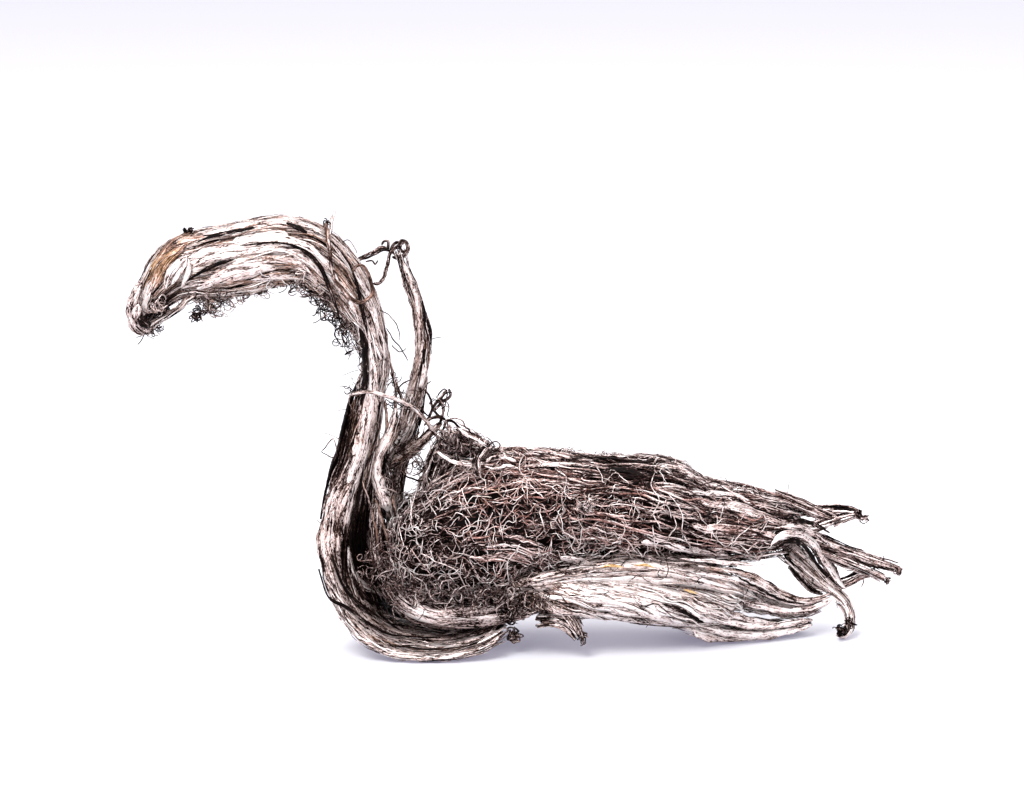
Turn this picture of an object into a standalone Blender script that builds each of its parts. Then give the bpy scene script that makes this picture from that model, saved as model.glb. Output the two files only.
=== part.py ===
"""Native silver specimen: wires of silver that grew together into ropes and a matted body.

It grew as one branching piece, so it is split only at its main forks: the rope of the neck
with the head at its end, the bowed strand behind the neck, the matted body, the bundle
under it, and the tails. Lengths are in metres, +Z is up, and the origin is the middle of
the footprint on the surface that the specimen stands on. +X points to the tails, and -Y is
the side that shows the open loop of the base.
"""

import math
import random

import bmesh
import bpy
from mathutils import Vector

MM = 0.001

# The routes below were laid out from a point of their own, and this brings them to the origin.
ORIGIN_SHIFT = Vector((-0.724, -0.93, 0.0)) * MM

GAP = 0.8 * MM  # left between two nodes where they fork, before the surfaces are thinned out
FLOOR_DEPTH = 20 * MM
FLOOR_SIDE = 200 * MM
SECTION_SIDES = 16  # of a core's cross-section
CORE_SHARE = 0.78  # of a bundle's section that its core fills
ROUTE_STEPS = 6  # places read between two stations of a route
WANDER = 0.10  # how far a strand strays in its bundle, as a share of the section
NEAR_EDGE_HOLD = 0.85  # how much a turned section moves over, so that its near edge stays put

# Stations along each rope: x, y, z of its middle, half its thickness and half its depth in mm,
# and the degrees that its section is turned, far edge towards +X or up.
NECK_ROUTE = (
    (-53.7, -3.0, 46.9, 1.7, 2.2, 0),
    (-52.5, -3.0, 49.6, 2.3, 3.0, 0),
    (-50.2, -3.0, 52.8, 3.2, 3.7, 0),
    (-47.5, -3.0, 55.2, 4.6, 4.2, 0),
    (-43.3, -3.0, 56.2, 5.2, 4.6, 0),
    (-38.4, -3.0, 57.0, 5.3, 4.7, 0),
    (-33.3, -3.0, 58.2, 5.0, 4.6, 0),
    (-28.9, -3.0, 57.5, 4.6, 4.4, 0),
    (-25.2, -3.0, 54.4, 4.0, 4.1, 0),
    (-22.4, -2.7, 50.4, 3.3, 3.8, 0),
    (-20.7, -2.5, 46.4, 2.6, 3.5, 0),
    (-20.1, -2.3, 41.2, 2.2, 3.4, 0),
    (-21.4, -2.0, 34.9, 2.3, 3.7, 6),
    (-23.0, -2.0, 29.1, 2.7, 4.3, 14),
    (-25.0, -1.8, 23.2, 2.8, 5.2, 24),
    (-26.5, -1.5, 16.5, 2.5, 6.6, 30),
    (-25.5, -1.2, 9.8, 1.9, 8.4, 28),
    (-22.9, -1.0, 5.0, 1.5, 9.6, 20),
    (-19.6, -1.0, 2.2, 1.4, 10.2, 8),
    (-15.6, -1.0, 1.0, 1.4, 10.4, 1),
    (-10.0, -1.0, 0.8, 1.4, 10.4, 0),
    (-4.9, -1.0, 1.8, 1.5, 10.0, 1),
    (-0.9, -1.0, 3.8, 1.6, 8.8, 3),
)
BACK_ROUTE = (
    (-16.6, 3.0, 57.2, 0.8, 0.8, 0),
    (-16.1, 3.0, 55.8, 0.7, 0.8, 0),
    (-15.2, 3.0, 52.8, 0.8, 0.9, 0),
    (-13.8, 3.0, 48.4, 1.0, 1.1, 0),
    (-13.1, 3.0, 43.3, 1.2, 1.3, 0),
    (-13.8, 3.0, 38.2, 1.2, 1.4, 0),
    (-14.8, 3.0, 34.3, 1.3, 1.4, 0),
    (-16.2, 2.6, 30.6, 1.5, 1.6, 0),
    (-18.4, 2.2, 27.4, 1.6, 1.7, 0),
    (-19.2, 2.0, 24.6, 1.5, 1.7, 0),
    (-18.2, 1.6, 20.6, 1.7, 1.8, 0),
    (-16.8, 1.2, 16.6, 1.4, 1.8, 0),
)
BODY_ROUTE = (
    (-17.8, -1.0, 12.6, 3.5, 5.5, 0),
    (-15.4, -0.8, 13.4, 6.6, 7.8, 0),
    (-10.7, -0.5, 15.4, 9.2, 10.2, 0),
    (-5.0, 0.0, 17.5, 11.2, 11.6, 0),
    (3.6, 0.5, 19.3, 9.4, 12.0, 0),
    (12.1, 1.0, 19.6, 8.0, 12.0, 0),
    (20.7, 2.0, 19.5, 7.8, 11.6, 0),
    (26.4, 3.0, 17.9, 6.3, 10.4, 0),
    (34.0, 4.6, 16.7, 5.3, 8.6, 0),
    (39.4, 6.0, 15.9, 4.4, 6.4, 0),
)
LOWER_ROUTE = (
    (2.6, -4.0, 7.6, 3.0, 5.0, 0),
    (6.0, -3.8, 8.5, 4.2, 6.4, 0),
    (12.1, -3.0, 8.9, 4.1, 7.4, 0),
    (20.7, -0.8, 7.8, 4.0, 8.2, 0),
    (27.0, 1.2, 6.6, 3.6, 7.6, 0),
    (31.5, 2.8, 6.2, 2.4, 6.0, 0),
)
UPPER_FORK_ROUTE = (
    (26.0, 1.6, 7.6, 2.6, 6.6, 0),
    (31.0, 3.4, 6.8, 2.2, 5.6, 0),
    (36.4, 4.8, 4.9, 1.6, 4.2, 0),
    (40.0, 5.0, 3.8, 1.3, 3.1, 0),
    (42.9, 5.0, 3.9, 1.2, 2.3, 0),
    (45.2, 5.0, 5.0, 1.0, 1.6, 0),
)
LOWER_FORK_ROUTE = (
    (22.0, 0.0, 4.6, 2.0, 6.2, 0),
    (26.4, 2.4, 2.8, 1.6, 5.8, 0),
    (31.0, 3.8, 1.4, 1.3, 5.2, 0),
    (35.0, 4.5, 0.9, 1.2, 4.4, 0),
    (39.6, 5.0, 1.2, 0.9, 2.8, 0),
    (43.4, 5.2, 1.7, 0.7, 1.2, 0),
)

# Single wires and forks, each a list of x, y, z and radius in mm.
HOOK_WIRE = (
    (-26.1, -3.6, 61.0, 0.6),
    (-25.8, -6.2, 60.0, 0.6),
    (-25.6, -7.5, 58.2, 0.6),
    (-25.2, -7.7, 55.8, 0.55),
    (-23.8, -7.3, 53.3, 0.55),
    (-21.9, -6.9, 51.7, 0.55),
    (-20.1, -6.4, 52.2, 0.55),
    (-18.9, -5.2, 54.2, 0.5),
    (-19.5, -4.2, 56.6, 0.5),
    (-20.8, -3.6, 57.1, 0.5),
)
TOP_WIRE = ((-26.6, -3.2, 60.6, 0.55), (-26.2, -3.4, 62.6, 0.45), (-26.0, -3.4, 64.2, 0.4))
CROWN_KNOB = ((-47.9, -3.0, 60.4, 0.7), (-47.0, -3.2, 61.0, 0.8), (-46.2, -3.0, 60.9, 0.6))
JAW = (
    (-43.0, -4.5, 52.8, 0.7),
    (-45.7, -5.0, 52.0, 0.6),
    (-47.3, -5.2, 50.5, 0.5),
    (-48.9, -5.0, 49.3, 0.5),
    (-50.8, -4.6, 48.1, 0.6),
    (-52.2, -4.0, 46.8, 0.6),
    (-52.6, -3.6, 45.8, 0.6),
)
UNDER_CURLS = (
    ((-45.6, -3.6, 50.4, 0.7), (-44.6, -4.4, 48.6, 0.9), (-43.4, -3.4, 49.0, 0.8), (-42.4, -3.0, 51.4, 0.7)),
    ((-41.6, -4.0, 51.2, 0.7), (-40.6, -4.6, 49.9, 0.7), (-39.2, -4.0, 50.6, 0.7), (-38.4, -3.4, 52.4, 0.7)),
    ((-37.4, -2.0, 52.2, 0.7), (-35.4, -2.6, 51.0, 0.7), (-34.0, -2.2, 52.6, 0.7)),
    ((-29.6, -3.6, 52.6, 0.7), (-27.6, -4.6, 50.0, 0.8), (-25.6, -3.8, 47.6, 0.8), (-24.0, -3.2, 46.0, 0.7)),
    ((-28.2, -1.6, 52.0, 0.6), (-26.6, -2.2, 48.4, 0.7), (-24.6, -1.8, 46.0, 0.6)),
)
HOOK_LINK = ((-16.8, 2.6, 57.0, 0.45), (-16.7, 0.6, 54.6, 0.45), (-17.6, -1.4, 53.0, 0.45), (-18.8, -2.4, 52.4, 0.4))
KNOT_LINK = ((-17.2, 2.8, 57.0, 0.5), (-20.2, 1.0, 55.9, 0.4), (-22.6, -0.4, 54.6, 0.4))
KNOT = (
    (-18.6, 2.6, 57.4, 0.45),
    (-18.2, 2.2, 58.2, 0.5),
    (-16.6, 2.0, 58.5, 0.5),
    (-15.4, 2.6, 57.9, 0.5),
    (-15.5, 3.4, 56.8, 0.5),
    (-17.0, 3.8, 56.6, 0.5),
)
REAR_FORK = (
    (-13.3, 4.0, 39.8, 0.9),
    (-13.9, 4.8, 35.4, 1.1),
    (-14.8, 5.0, 31.0, 1.2),
    (-16.4, 4.6, 26.4, 1.1),
    (-17.0, 3.8, 21.6, 1.0),
    (-16.4, 3.0, 17.6, 0.9),
)
BRANCH = (
    (-18.4, 1.6, 26.0, 0.8),
    (-15.4, 0.6, 28.0, 0.9),
    (-12.6, -0.2, 30.6, 0.8),
    (-10.4, -0.8, 33.0, 0.8),
)
CROSS_WIRE = (
    (-10.4, -1.4, 32.6, 0.6),
    (-11.4, -3.0, 34.6, 0.5),
    (-13.6, -5.2, 36.2, 0.45),
    (-16.4, -6.6, 37.6, 0.45),
    (-20.0, -7.2, 38.3, 0.45),
    (-23.4, -6.6, 38.5, 0.45),
    (-25.0, -5.4, 38.3, 0.4),
)
SHOULDER = (
    ((-13.0, 0.0, 22.0, 1.6), (-11.2, -0.6, 26.4, 1.8), (-9.4, -1.0, 29.6, 1.8), (-8.0, -1.0, 31.6, 1.1)),
    ((-8.8, -1.4, 31.4, 0.9), (-7.4, -1.8, 32.4, 0.8), (-5.4, -2.0, 30.8, 0.8), (-3.4, -1.8, 29.2, 0.8)),
    ((-8.6, 0.4, 26.0, 2.2), (-7.0, 0.2, 29.2, 2.2), (-4.6, 0.4, 27.8, 2.2)),
)
FOOT = (
    (5.4, -6.6, 8.4, 1.6),
    (7.6, -8.2, 6.4, 1.4),
    (8.8, -8.8, 4.6, 1.2),
    (9.4, -9.0, 3.3, 1.2),
)
FOOT_ROOT = ((3.4, -7.4, 5.4, 1.1), (5.6, -8.4, 5.6, 1.0), (7.4, -8.8, 5.0, 1.0), (9.0, -9.0, 3.4, 1.0))
UPPER_TAIL = (
    ((37.6, 8.0, 20.2, 0.8), (41.4, 8.0, 18.6, 0.9), (45.0, 8.0, 17.0, 0.9), (47.1, 8.0, 16.3, 0.7)),
    ((38.6, 8.8, 17.2, 0.9), (43.6, 8.8, 17.6, 0.7), (47.4, 8.4, 17.8, 0.7), (49.3, 8.0, 17.6, 0.6),
     (50.1, 7.8, 17.0, 0.55), (50.3, 7.8, 16.1, 0.5)),
    ((46.2, 7.8, 16.2, 0.7), (48.1, 7.8, 16.8, 0.6), (49.9, 7.8, 17.3, 0.5)),
    ((38.6, 8.2, 16.4, 0.9), (42.9, 8.0, 15.3, 0.8), (45.0, 7.8, 15.9, 0.8), (46.9, 7.8, 16.5, 0.7)),
)
MIDDLE_TAIL = (
    ((38.6, 6.4, 14.8, 0.9), (41.6, 6.4, 14.3, 0.9), (44.4, 6.4, 13.6, 1.0), (47.9, 6.4, 12.2, 1.0),
     (51.6, 6.4, 10.8, 1.0), (54.6, 6.3, 9.8, 1.0), (56.2, 6.2, 9.4, 0.9)),
    ((43.4, 6.0, 12.4, 0.7), (45.3, 5.8, 11.7, 0.8), (48.6, 5.8, 10.5, 0.8), (51.9, 5.8, 9.1, 0.8),
     (54.2, 6.0, 7.9, 0.7)),
    ((46.2, 7.2, 6.4, 0.7), (48.6, 7.0, 7.4, 0.7), (50.4, 6.8, 8.4, 0.7), (52.4, 6.4, 9.0, 0.8)),
    ((38.6, 6.6, 14.0, 0.9), (42.6, 6.6, 13.7, 0.8), (44.1, 6.8, 12.2, 0.8), (45.4, 7.0, 10.1, 0.8),
     (46.6, 7.2, 8.0, 0.8), (47.0, 7.2, 6.6, 0.7)),
)
CURLED_TAIL = (
    ((38.6, 3.6, 12.8, 1.0), (42.3, 4.2, 9.7, 1.0), (44.4, 4.5, 7.8, 1.0), (46.6, 4.8, 6.1, 1.0),
     (47.9, 4.6, 4.9, 0.9), (48.6, 3.8, 3.5, 0.8), (48.6, 2.7, 1.9, 0.8), (47.7, 1.9, 0.6, 0.8),
     (46.4, 1.5, 0.9, 0.7)),
    ((38.6, 4.2, 14.2, 0.9), (40.9, 4.4, 12.4, 0.9), (43.6, 4.8, 9.8, 0.8), (45.7, 5.0, 7.6, 0.8),
     (47.1, 5.1, 6.0, 0.8)),
    ((40.2, 4.2, 10.6, 0.7), (41.6, 4.4, 8.8, 0.7), (43.2, 4.6, 7.2, 0.6), (44.9, 4.8, 6.6, 0.6)),
)

CURL_COUNT = 64  # bent wires raised on the body
CURL_RADIUS = 0.8 * MM
CURL_SINK = 0.35 * MM  # of a curl's middle under the surface of the route's section
CURL_POINTS = 10
CURL_STEP = 0.15  # from one point to the next, in stations along and radians round
MAT_END = 5.0  # the station up to which the wires lie in all directions
MAT_SPREAD = 0.8  # of their headings, in radians
FLOW_SPREAD = 0.25

SILVER = (0.62, 0.58, 0.56, 1.0)
DARK_SILVER = (0.30, 0.27, 0.26, 1.0)


def clear_scene():
    for obj in list(bpy.data.objects):
        bpy.data.objects.remove(obj, do_unlink=True)


def collection(name):
    made = bpy.data.collections.new(name)
    bpy.context.scene.collection.children.link(made)
    return made


def material(name, colour, roughness):
    made = bpy.data.materials.new(name)
    made.use_nodes = True
    shader = made.node_tree.nodes["Principled BSDF"]
    shader.inputs["Base Color"].default_value = colour
    shader.inputs["Roughness"].default_value = roughness
    shader.inputs["Metallic"].default_value = 1.0
    return made


def between(stations, place):
    """The station at a place along the list, where 2.5 is halfway from the third to the fourth, on a smooth curve."""
    index = min(int(place), len(stations) - 2)
    share = place - index
    before = stations[max(index - 1, 0)]
    low, high = stations[index], stations[index + 1]
    after = stations[min(index + 2, len(stations) - 1)]
    return tuple(
        0.5
        * (
            2 * b
            + (c - a) * share
            + (2 * a - 5 * b + 4 * c - d) * share**2
            + (3 * b - a - 3 * c + d) * share**3
        )
        for a, b, c, d in zip(before, low, high, after)
    )


def wire(stations, steps=4):
    """A smooth strand, as (place, radius) pairs in metres, through stations of x, y, z and radius in mm."""
    strand = []
    for count in range((len(stations) - 1) * steps + 1):
        x, y, z, radius = between(stations, count / steps)
        strand.append((Vector((x, y, z)) * MM + ORIGIN_SHIFT, radius * MM))
    return strand


class Rope:
    """A bundle that follows a route of stations, with a flat or round section that changes along it."""

    def __init__(self, route):
        self.route = route
        self.last = len(route) - 1

    def frame(self, place):
        """(middle, across, deep, half thickness, half depth) at a place along the stations."""
        place = min(max(place, 0.0), self.last)
        x, y, z, thick, depth, turned = between(self.route, place)
        ahead = Vector(between(self.route, min(place + 0.1, self.last))[:3])
        behind = Vector(between(self.route, max(place - 0.1, 0.0))[:3])
        along = (ahead - behind).normalized()
        straight = Vector((0.0, 1.0, 0.0))
        straight = (straight - along * straight.dot(along)).normalized()
        across = along.cross(straight)
        sine, cosine = math.sin(math.radians(turned)), math.cos(math.radians(turned))
        middle = Vector((x, y, z)) + across * (depth * sine * NEAR_EDGE_HOLD)
        deep = straight * cosine + across * sine
        return middle * MM + ORIGIN_SHIFT, along.cross(deep), deep, thick * MM, depth * MM

    def loft(self, share, grow=0.0):
        """The bundle's core, a closed mesh lofted between its sections."""
        mesh = bmesh.new()
        rings = []
        count = self.last * ROUTE_STEPS
        for step in range(count + 1):
            middle, across, deep, thick, depth = self.frame(step / ROUTE_STEPS)
            if step == 0:
                middle -= deep.cross(across) * grow
            if step == count:
                middle += deep.cross(across) * grow
            ring = []
            for side in range(SECTION_SIDES):
                angle = 2 * math.pi * side / SECTION_SIDES
                out = across * (math.sin(angle) * (thick * share + grow))
                ring.append(mesh.verts.new(middle + out + deep * (math.cos(angle) * (depth * share + grow))))
            rings.append(ring)
        for first, second in zip(rings, rings[1:]):
            for side in range(SECTION_SIDES):
                after = (side + 1) % SECTION_SIDES
                mesh.faces.new((first[side], first[after], second[after], second[side]))
        mesh.faces.new(rings[0])
        mesh.faces.new(rings[-1])
        bmesh.ops.recalc_face_normals(mesh, faces=mesh.faces)
        return mesh

    def strand(self, angle, start, end, size, seed, grow=0.0):
        """A strand on the bundle's outside at an angle round it, as (place, radius) pairs."""
        chance = random.Random(seed)
        phases = [chance.uniform(0, 2 * math.pi) for _ in range(2)]
        strand = []
        count = max(4, round((end - start) * ROUTE_STEPS / 2))
        for step in range(count + 1):
            share = step / count
            place = start + (end - start) * share
            middle, across, deep, thick, depth = self.frame(place)
            turn = angle + WANDER * math.sin(place * 0.9 + phases[0])
            stray = 1.0 + WANDER * math.sin(place * 1.3 + phases[1])
            girth = math.pi * (thick + depth) * size
            radius = min(girth * stray, 0.95 * thick, 0.95 * depth)
            radius *= min(1.0, 0.6 + 4 * share, 0.6 + 4 * (1 - share))
            out = across * (math.sin(turn) * (thick - radius))
            strand.append((middle + out + deep * (math.cos(turn) * (depth - radius)), radius + grow))
        return strand

    def strands(self, count, size, seed, grow=0.0, ragged=0.0):
        """Strands all round the bundle. Ragged is how many stations late or early they may start and end."""
        chance = random.Random(seed)
        made = []
        for number in range(count):
            angle = 2 * math.pi * (number + chance.uniform(-0.2, 0.2)) / count
            start = chance.uniform(0, ragged)
            end = self.last - chance.uniform(0, ragged)
            made.append(self.strand(angle, start, end, size * chance.uniform(0.8, 1.25), seed + number, grow))
        return made


def tubes(strands, grow=0.0):
    """A mesh of closed round tubes, one for each strand."""
    curve = bpy.data.curves.new("strands", "CURVE")
    curve.dimensions = "3D"
    curve.bevel_depth = MM
    curve.bevel_resolution = 2
    curve.use_fill_caps = True
    for strand in strands:
        (first, start_radius), (last, end_radius) = strand[0], strand[-1]
        before = first + (first - strand[1][0]).normalized() * grow
        after = last + (last - strand[-2][0]).normalized() * grow
        if grow:
            strand = [(before, start_radius), *strand, (after, end_radius)]
        spline = curve.splines.new("POLY")
        spline.points.add(len(strand) - 1)
        for point, (place, radius) in zip(spline.points, strand):
            point.co = (*place, 1.0)
            point.radius = (radius + grow) / MM
    holder = bpy.data.objects.new("strands", curve)
    bpy.context.scene.collection.objects.link(holder)
    made = evaluated_mesh(holder)
    bpy.data.objects.remove(holder)
    mesh = bmesh.new()
    mesh.from_mesh(made)
    bmesh.ops.remove_doubles(mesh, verts=mesh.verts, dist=0.00001)
    bmesh.ops.recalc_face_normals(mesh, faces=mesh.faces)
    return mesh


def evaluated_mesh(obj):
    graph = bpy.context.evaluated_depsgraph_get()
    return bpy.data.meshes.new_from_object(obj.evaluated_get(graph))


def joined(parts):
    """One mesh that holds several, overlapping as they lie."""
    whole = bmesh.new()
    for part in parts:
        carrier = bpy.data.meshes.new("carrier")
        part.to_mesh(carrier)
        whole.from_mesh(carrier)
        bpy.data.meshes.remove(carrier)
    made = bpy.data.meshes.new("joined")
    whole.to_mesh(made)
    return made


def outer_shell(made):
    """Keeps a mesh's largest closed shell, and drops the small ones round pockets between the strands."""
    mesh = bmesh.new()
    mesh.from_mesh(made)
    mesh.verts.ensure_lookup_table()
    shells, seen = [], set()
    for vert in mesh.verts:
        if vert.index in seen:
            continue
        shell, edge = [], [vert]
        seen.add(vert.index)
        while edge:
            current = edge.pop()
            shell.append(current)
            for link in current.link_edges:
                other = link.other_vert(current)
                if other.index not in seen:
                    seen.add(other.index)
                    edge.append(other)
        shells.append(shell)
    shells.sort(key=len)
    for shell in shells[:-1]:
        bmesh.ops.delete(mesh, geom=shell, context="VERTS")
    mesh.to_mesh(made)
    return made


def with_modifier(made, kind, settings):
    """The mesh after one modifier, outer shell only."""
    holder = bpy.data.objects.new("worked", made)
    bpy.context.scene.collection.objects.link(holder)
    modifier = holder.modifiers.new(kind.lower(), kind)
    for name, value in settings.items():
        setattr(modifier, name, value)
    result = evaluated_mesh(holder)
    bpy.data.objects.remove(holder)
    return outer_shell(result)


def remeshed(made, voxel):
    """One closed surface round everything in the mesh."""
    return with_modifier(made, "REMESH", {"mode": "VOXEL", "voxel_size": voxel})


def thinned(made, faces):
    """The surface with about so many triangles."""
    made.calc_loop_triangles()
    share = min(1.0, faces / len(made.loop_triangles))
    return with_modifier(made, "DECIMATE", {"ratio": share, "use_collapse_triangulate": True})


def less(made, tools):
    """The solid with each tool's space cut out of it."""
    for tool in tools:
        settings = {"operation": "DIFFERENCE", "solver": "EXACT", "object": tool}
        made = with_modifier(made, "BOOLEAN", settings)
    return made


def cutter(name, made, group):
    """A helper that cuts other solids and isn't part of the specimen."""
    obj = bpy.data.objects.new(name, made)
    obj.hide_render = True
    obj.display_type = "WIRE"
    group.objects.link(obj)
    return obj


def floor_cutter(group):
    """The space under the floor, which trims each foot flat where it stands."""
    mesh = bmesh.new()
    bmesh.ops.create_cube(mesh, size=1.0)
    for vert in mesh.verts:
        vert.co = Vector((vert.co.x * FLOOR_SIDE, vert.co.y * FLOOR_SIDE, (vert.co.z - 0.5) * FLOOR_DEPTH))
    made = bpy.data.meshes.new("floor")
    mesh.to_mesh(made)
    return cutter("floor_cutter", made, group)


def node(name, made, look, group):
    """A finished solid, as an object of its own."""
    obj = bpy.data.objects.new(name, made)
    group.objects.link(obj)
    obj.data.materials.clear()
    obj.data.materials.append(look)
    obj.data.shade_smooth()
    obj.data.set_sharp_from_angle(angle=math.radians(50))
    return obj


def neck_parts(grow=0.0):
    neck = Rope(NECK_ROUTE)
    strands = neck.strands(11, 0.045, seed=11, ragged=0.6)
    singles = [wire(TOP_WIRE), wire(HOOK_WIRE), wire(CROWN_KNOB), wire(JAW)]
    singles += [wire(curl) for curl in UNDER_CURLS]
    return [neck.loft(CORE_SHARE, grow), tubes(strands + singles, grow)]


def back_parts(grow=0.0):
    back = Rope(BACK_ROUTE)
    strands = back.strands(5, 0.13, seed=23)
    singles = [wire(each) for each in (KNOT, HOOK_LINK, KNOT_LINK, REAR_FORK, BRANCH, CROSS_WIRE)]
    return [back.loft(CORE_SHARE, grow), tubes(strands + singles, grow)]


def body_curl(body, chance):
    """One bent wire of the mat, which lies along the body's surface with a wander."""
    place = chance.uniform(0.8, body.last - 1.4)
    angle = chance.uniform(0, 2 * math.pi)
    heading = chance.gauss(0, MAT_SPREAD if place < MAT_END else FLOW_SPREAD)
    bend = chance.uniform(-0.4, 0.4)
    curl = []
    for _ in range(CURL_POINTS):
        middle, across, deep, thick, depth = body.frame(place)
        out = across * (math.sin(angle) * (thick - CURL_SINK))
        curl.append((middle + out + deep * (math.cos(angle) * (depth - CURL_SINK)), CURL_RADIUS))
        place += CURL_STEP * math.cos(heading)
        angle += CURL_STEP * math.sin(heading)
        heading += bend
    return curl


def body_parts():
    body = Rope(BODY_ROUTE)
    chance = random.Random(5)
    strands = body.strands(16, 0.034, seed=37, ragged=0.5)
    curls = [body_curl(body, chance) for _ in range(CURL_COUNT)]
    return [body.loft(0.86), tubes(strands + curls + [wire(each) for each in SHOULDER])]


def lower_parts(grow=0.0):
    parts = []
    for number, (route, count) in enumerate(((LOWER_ROUTE, 11), (UPPER_FORK_ROUTE, 8), (LOWER_FORK_ROUTE, 7))):
        rope = Rope(route)
        strands = rope.strands(count, 0.48 / count, seed=53 + 20 * number, ragged=0.3)
        parts += [rope.loft(CORE_SHARE, grow), tubes(strands, grow)]
    return parts + [tubes([wire(FOOT), wire(FOOT_ROOT)], grow)]


def tail_parts(strands, grow=0.0):
    return [tubes([wire(each) for each in strands], grow)]


def build():
    clear_scene()
    specimen = collection("native_silver_specimen")
    helpers = collection("cutters")
    silver = material("silver", SILVER, 0.42)
    dark = material("dark_silver", DARK_SILVER, 0.5)
    floor = floor_cutter(helpers)

    def grown(name, parts, faces):
        return cutter(name, thinned(remeshed(joined(parts), 0.5 * MM), faces), helpers)

    round_neck = grown("round_neck", neck_parts(GAP), 1400)
    round_back = grown("round_back", back_parts(GAP), 900)
    round_lower = grown("round_lower", lower_parts(GAP), 1000)
    round_middle = grown("round_middle", tail_parts(MIDDLE_TAIL, GAP), 400)
    round_curled = grown("round_curled", tail_parts(CURLED_TAIL, GAP), 400)
    round_upper = grown("round_upper", tail_parts(UPPER_TAIL, GAP), 400)
    forks = [round_neck, round_back, round_lower, round_middle, round_curled, round_upper]

    # Each node: its parts, its voxel, its triangles, its neighbours and its look.
    plan = {
        "neck_and_head": (neck_parts(), 0.32, 2760, [], silver),
        "back_strand": (back_parts(), 0.26, 1000, [round_neck], silver),
        "lower_bundle": (lower_parts(), 0.36, 1200, [round_neck], silver),
        "middle_tail": (tail_parts(MIDDLE_TAIL), 0.22, 360, [round_lower], dark),
        "curled_tail": (tail_parts(CURLED_TAIL), 0.22, 330, [round_lower, round_middle], silver),
        "upper_tail": (tail_parts(UPPER_TAIL), 0.22, 360, [round_middle, round_curled], dark),
        "body": (body_parts(), 0.42, 2430, forks, dark),
    }
    for name, (parts, voxel, faces, neighbours, look) in plan.items():
        solid = thinned(remeshed(joined(parts), voxel * MM), faces)
        node(name, less(solid, neighbours + [floor]), look, specimen)


build()
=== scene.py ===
"""Looks of a native silver specimen: wires grown into an arched rope, a matted body and ragged tails.

Lengths are in millimetres until a mesh is made. +X points to the tails, +Z is up, and -Y is
the side that shows the open loop of the base. Every strand is real geometry: a tube or a flat
band with ridges, swept along its own path.
"""

import math

import bpy
import numpy as np
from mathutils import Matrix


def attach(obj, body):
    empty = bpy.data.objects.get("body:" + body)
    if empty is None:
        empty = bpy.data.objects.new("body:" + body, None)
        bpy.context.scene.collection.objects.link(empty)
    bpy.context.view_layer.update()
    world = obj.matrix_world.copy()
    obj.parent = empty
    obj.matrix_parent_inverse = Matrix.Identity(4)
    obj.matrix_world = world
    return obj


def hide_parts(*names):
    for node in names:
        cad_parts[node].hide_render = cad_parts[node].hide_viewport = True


MM = 0.001
TAU = 2 * math.pi

# The ropes' routes, as the solids have them, were laid out from a point of their own.
ORIGIN_SHIFT = np.array((-0.724, -0.93, 0.0))
NEAR_EDGE_HOLD = 0.85  # how much a turned section moves over, so that its near edge stays put

# Places taken from the photograph are pixels of its 1024 x 790 frame.
IMAGE_MIDDLE = np.array((512.0, 395.0))
IMAGE_WIDTH = 1024.0
LENS, SENSOR = 147.7, 36.0
LOOK_DOWN = math.radians(12)
CAMERA_TARGET = np.array((-1.154, -0.93, 36.66))
CAMERA_DISTANCE = 600.0
TO_CAMERA = np.array((0.0, -math.cos(LOOK_DOWN), math.sin(LOOK_DOWN)))
CAMERA_PLACE = CAMERA_TARGET + TO_CAMERA * CAMERA_DISTANCE
IMAGE_RIGHT = np.array((1.0, 0.0, 0.0))
IMAGE_UP = np.array((0.0, math.sin(LOOK_DOWN), math.cos(LOOK_DOWN)))
FOCAL_PIXELS = LENS / SENSOR * IMAGE_WIDTH
PIXELS_PER_MM = FOCAL_PIXELS / CAMERA_DISTANCE

# Strands stay above the floor, and within the solids' depth.
LOWEST = 0.03
NEAREST, FARTHEST = -13.4, 13.4

# Spots of colour fade away towards the side that the photograph doesn't show.
SPOTS_END, SPOTS_FADE = 3.0, 4.0

# Stations along each rope, much as the solids have them: x, y, z of its middle, half its thickness and
# depth, and the degrees that its section is turned, far edge towards +X or up.
NECK_ROUTE = (
    (-53.7, -3.0, 46.9, 1.7, 2.2, 0),
    (-52.5, -3.0, 49.6, 2.3, 3.0, 0),
    (-50.2, -3.0, 52.8, 3.2, 3.7, 0),
    (-47.5, -3.0, 55.2, 4.6, 4.2, 0),
    (-43.3, -3.0, 56.2, 5.2, 4.6, 0),
    (-38.4, -3.0, 57.0, 5.3, 4.7, 0),
    (-33.3, -3.0, 58.2, 5.0, 4.6, 0),
    (-28.9, -3.0, 57.5, 4.6, 4.4, 0),
    (-25.2, -3.0, 54.4, 4.0, 4.1, 0),
    (-22.4, -2.7, 50.4, 3.3, 3.8, 0),
    (-20.6, -2.5, 46.4, 2.4, 3.5, 0),
    (-19.8, -2.3, 41.2, 1.9, 3.4, 0),
    (-21.4, -2.0, 34.9, 2.3, 3.7, 6),
    (-23.0, -2.0, 29.1, 2.7, 4.3, 14),
    (-25.0, -1.8, 23.2, 2.8, 5.2, 24),
    (-26.5, -1.5, 16.5, 2.5, 6.6, 30),
    (-25.5, -1.2, 9.8, 1.9, 8.4, 28),
    (-22.9, -1.0, 5.0, 1.5, 9.6, 20),
    (-19.6, -1.0, 2.2, 1.4, 10.2, 8),
    (-15.6, -1.0, 1.0, 1.4, 10.4, 1),
    (-10.0, -1.0, 0.8, 1.4, 10.4, 0),
    (-4.9, -1.0, 1.8, 1.5, 10.0, 1),
    (-0.9, -1.0, 3.8, 1.6, 8.8, 3),
)
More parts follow.
